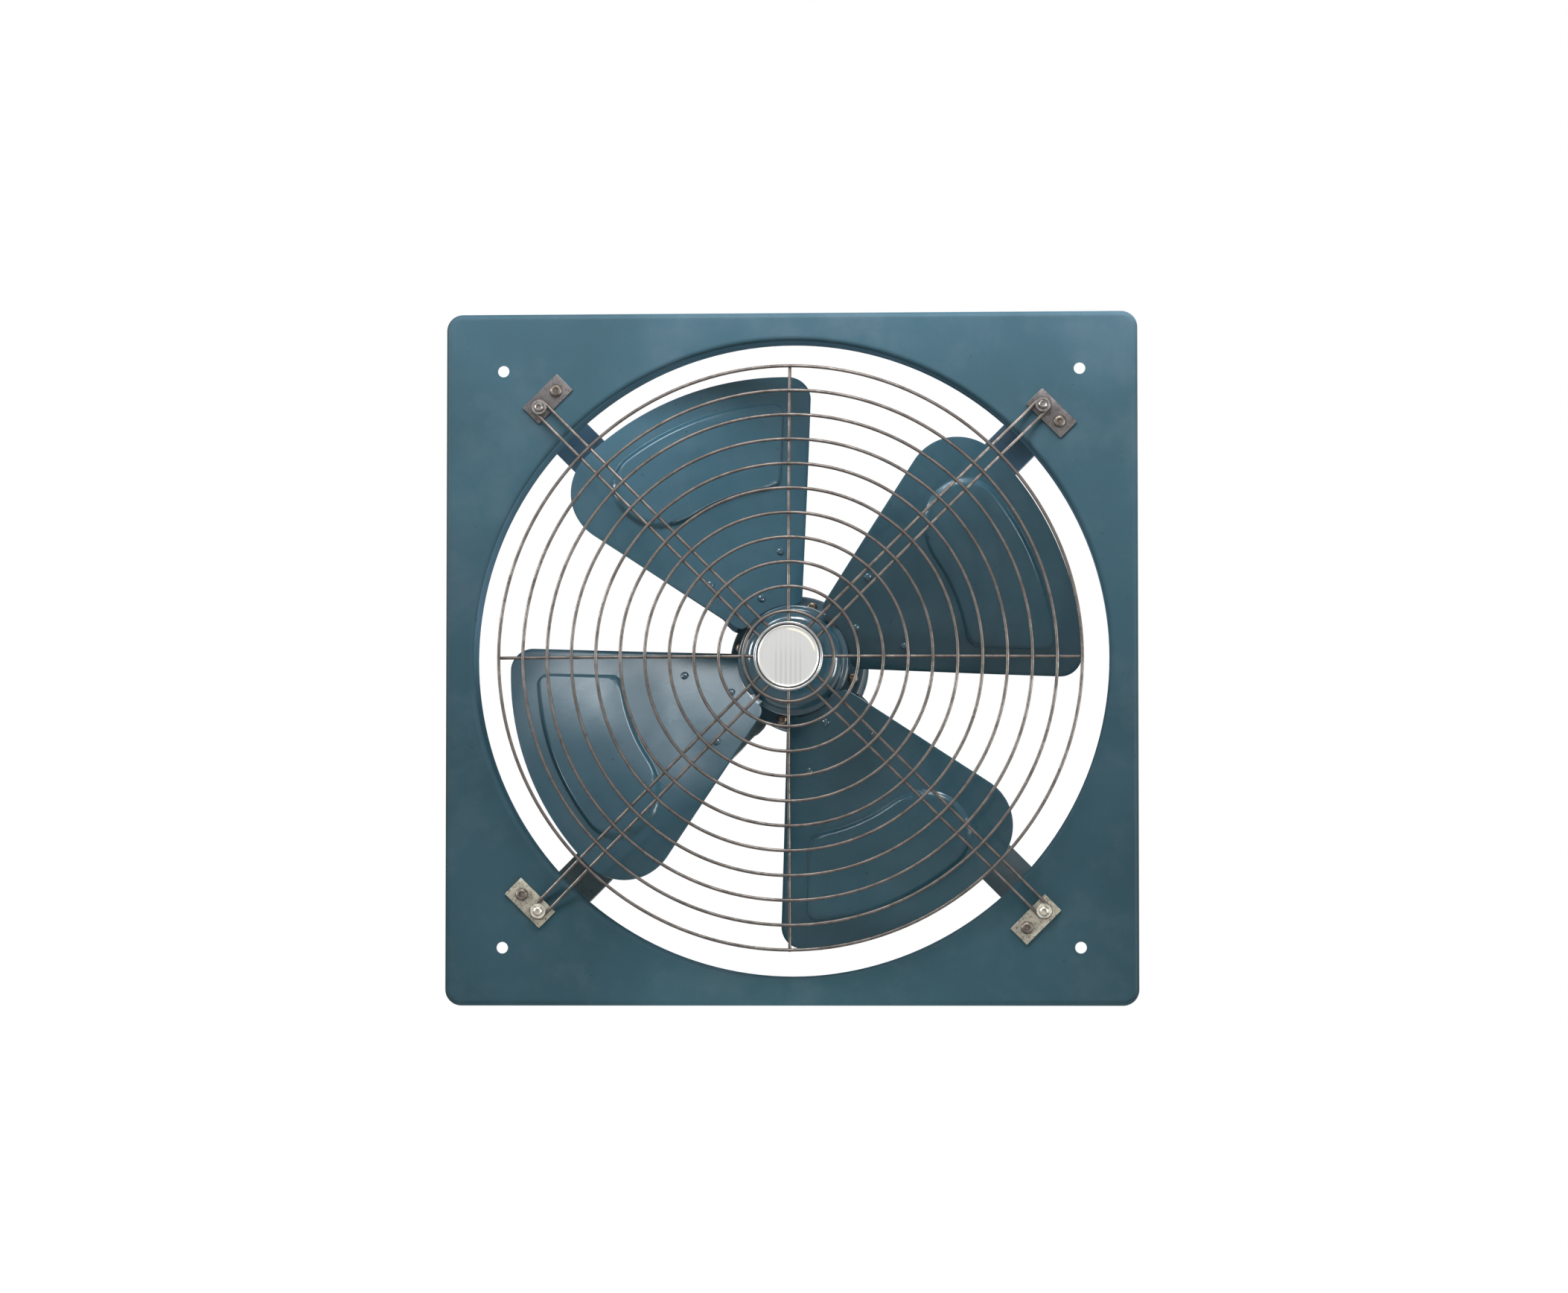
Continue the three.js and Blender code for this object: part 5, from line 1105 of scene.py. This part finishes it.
near = mask(tree, number(tree, "ABSOLUTE", x), 0.011, 0.016, 1.0, 0.0)
striped = number(tree, "MULTIPLY", striped, number(tree, "MULTIPLY", lower, near))
shading = number(tree, "MULTIPLY_ADD", lines, 0.30, striped)
brushed = mix_colour(tree, shading, given["Bright"], given["Shade"])
square = number(tree, "MULTIPLY", z, z)
radius = number(tree, "SQRT", number(tree, "MULTIPLY_ADD", x, x, square))
off_ring = number(tree, "ABSOLUTE", number(tree, "SUBTRACT", radius, 0.0232))
ring = mask(tree, off_ring, 0.0003, 0.0011, 0.8, 0.0)
# The painted highlight: a cream crescent on a thin ring near the disc's edge, towards the upper right
facing = number(tree, "MULTIPLY_ADD", x, 0.62, number(tree, "MULTIPLY", z, 0.78))
highlight_crescent = number(tree, "MULTIPLY", ring, mask(tree, facing, 0.016, 0.0205))
shining = mix_colour(tree, highlight_crescent, brushed, given["Painted highlight"])
end_effect(tree, shining, number(tree, "MULTIPLY_ADD", lines, 0.16, given["Roughness"]), lines)

disc_face = disc_low.y + DISC_SHEET
disc_steel = finish("brushed_disc", brushed_metal, {
    "Bright": rgb(201, 201, 199), "Shade": rgb(140, 140, 142), "Painted highlight": rgb(255, 246, 218), "Stripes": 74.0,
    "Roughness": 0.32,
}, 0.10, 0.0002, Metallic=1.0)
disc = turned_piece("boss_disc_face", [
    (0.0, disc_high.y), (DISC_RADIUS - 0.3, disc_high.y), (DISC_RADIUS, disc_high.y - 0.3),
    *arc(DISC_RADIUS - DISC_LIP / 2, disc_low.y + DISC_LIP / 2, DISC_LIP / 2, 0, -180, 10),
    *arc(DISC_RADIUS - DISC_LIP - 0.5, disc_face - 0.5, 0.5, 0, 90, 4),
    (DISC_RADIUS - 4.0, disc_face), (DISC_RADIUS - 10.0, disc_face - 0.12), (0.0, disc_face - 0.22),
], disc_steel, 128)
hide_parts("boss_disc")
for piece in (boss, disc):
    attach(piece, "frame")

# ---- Clip plates, their screws and the nuts ----
# Four strips of galvanised steel lie on the plate under the hairpins' ends. In each, one screw and washer
# clamps the wire and the arm's foot, and a side screw keeps the strip from turning.

CLIP_LENGTH, CLIP_WIDTH, CLIP_CORNER = 42.0, 20.0, 0.8
clip_back = plate_front - SEAT_GAP
clip_front = clip_back - CLIP_SHEET
washer_back = SPOKE_REST - WIRE_RADIUS - SEAT_GAP
clips = solid_piece("guard_clip_plates", slab(
    CLIP_WIDTH / 2, CLIP_LENGTH / 2, CLIP_CORNER, clip_front, clip_back, CLIP_AT, -SCREW_SPACING / 2, 3
), 0.25)
# The clips and their screws are lighter in the fan's lower half and darker and browner in the upper half.
# This is partly rust and partly painted shade
galvanised = metal(
    "galvanised_clips", lower_upper(rgb(156, 152, 138), rgb(97, 94, 94)),
    lower_upper(rgb(122, 119, 108), rgb(80, 77, 77)), rgb(66, 57, 52), 0.6, 110.0, 0.44, 0.1,
)
clip_zinc = metal(
    "clip_screw_zinc", lower_upper(rgb(212, 208, 194), rgb(150, 146, 142)),
    lower_upper(rgb(150, 145, 134), rgb(104, 98, 96)), rgb(60, 50, 44), 0.5, 200.0, 0.30, 0.12,
)
rusted = metal("browned_screws", rgb(112, 105, 98), rgb(78, 72, 67), BROWN_STAIN, 0.8, 260.0, 0.44, 0.12)
copy_round(clips, FIRST_CORNER, galvanised)
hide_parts(*["guard_clip_" + corner for corner in CORNER_NAMES])
place, head = (CLIP_AT, 0.0), (washer_back, 4.5, 4.2)
clip_screws = screws("clip_screws", "clip_screw_upper_right", place, head, 2.5, FIRST_CORNER, clip_zinc, 6.5)
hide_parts(*["clip_screw_" + corner for corner in CORNER_NAMES])
place, head = (CLIP_AT, -SCREW_SPACING), (clip_front - SEAT_GAP, 5.5, 3.0)
side_screws = screws("clip_side_screws", "side_screw_upper_right", place, head, 2.5, FIRST_CORNER, rusted)
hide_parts(*["side_screw_" + corner for corner in CORNER_NAMES])
for corner in CORNER_NAMES:
    dress_node("foot_nut_" + corner, zinc)
for piece in (clips, clip_screws, side_screws):
    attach(piece, "frame")

# ---- Capacitor box ----
# A moulded box on the rear cover holds the run capacitor. Its lid is held by four small screws, and a cable
# gland in its lower wall is the inlet for the supply.

BOX_WALL, BOX_CORNER = 2.0, 8.0
LID_SHEET, LID_STEP, LID_INSET = 2.0, 0.6, 5.0
LID_SCREW_INSET = 3.6
LID_SCREW = (
    (0.0, 0.35), (0.9, 0.35), (1.1, 0.02), (1.8, 0.05), (2.3, 0.4), (2.3, LID_SHEET), (0.0, LID_SHEET),
)
box_low, box_high = box_mm("capacitor_box")
lid_back = box_mm("capacitor_box_lid")[1].y
lid_front = lid_back - LID_SHEET
half_x, half_z = box_high.x, box_high.z

# Moulded plastic: a fine spark-eroded grain with slight shine where it is handled
moulded_grain, given = start_effect("moulded_grain", ("Plastic", "Worn"), ("Roughness",))
tree, place = moulded_grain, given["Place"]
handled = mask(tree, noise(tree, place, 30.0, 4.0), 0.45, 0.7)
rubbed = mix_colour(tree, handled, given["Plastic"], given["Worn"])
shine = number(tree, "MULTIPLY_ADD", handled, -0.12, given["Roughness"])
end_effect(tree, rubbed, shine, noise(tree, place, 1500.0, 2.0))

plastic, gland_plastic = [
    finish(name, moulded_grain, {"Plastic": dark, "Worn": worn, "Roughness": roughness}, bump, 0.0003)
    for name, dark, worn, roughness, bump in (
        ("black_moulding", rgb(34, 36, 38), rgb(46, 48, 50), 0.55, 0.2),
        ("gland_moulding", rgb(40, 42, 44), rgb(54, 56, 58), 0.45, 0.15),
    )
]
outside = rounded_square(half_x, half_z, BOX_CORNER, 8)
hollow = rounded_square(half_x - BOX_WALL, half_z - BOX_WALL, BOX_CORNER - BOX_WALL, 8)
loops = ((hollow, box_low.y + BOX_WALL), (hollow, box_high.y), (outside, box_high.y), (outside, box_low.y))
case_solid = skin([[(x, y, z) for x, z in outline] for outline, y in loops], caps=(0, 3))
case = solid_piece("capacitor_case", case_solid, 0.6, 2, 50)
lid = solid_piece("capacitor_case_lid", gather(
    slab(half_x, half_z, BOX_CORNER, lid_front, lid_back - LID_STEP),
    slab(half_x - LID_INSET, half_z - LID_INSET, BOX_CORNER - 4.0, lid_front + 0.5, lid_back),
), 0.5, 3)
lid_screw = revolved([(radius, lid_back - depth) for radius, depth in LID_SCREW], 24)
x_out, z_out = half_x - LID_SCREW_INSET, half_z - LID_SCREW_INSET
lid_screws = solid_piece("lid_screws", gather(*[
    moved(lid_screw, x, z) for x in (-x_out, x_out) for z in (-z_out, z_out)
]))
for piece in (case, lid):
    dress(piece, plastic)
dress(lid_screws, zinc)
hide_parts("capacitor_box")
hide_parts("capacitor_box_lid")
for piece in (case, lid, lid_screws):
    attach(piece, "frame")
dress_node("capacitor", metal("capacitor_can", rgb(188, 190, 192), rgb(160, 162, 165), OIL, 0.1, 60.0, 0.30))
dress_node("cable_gland", gland_plastic)
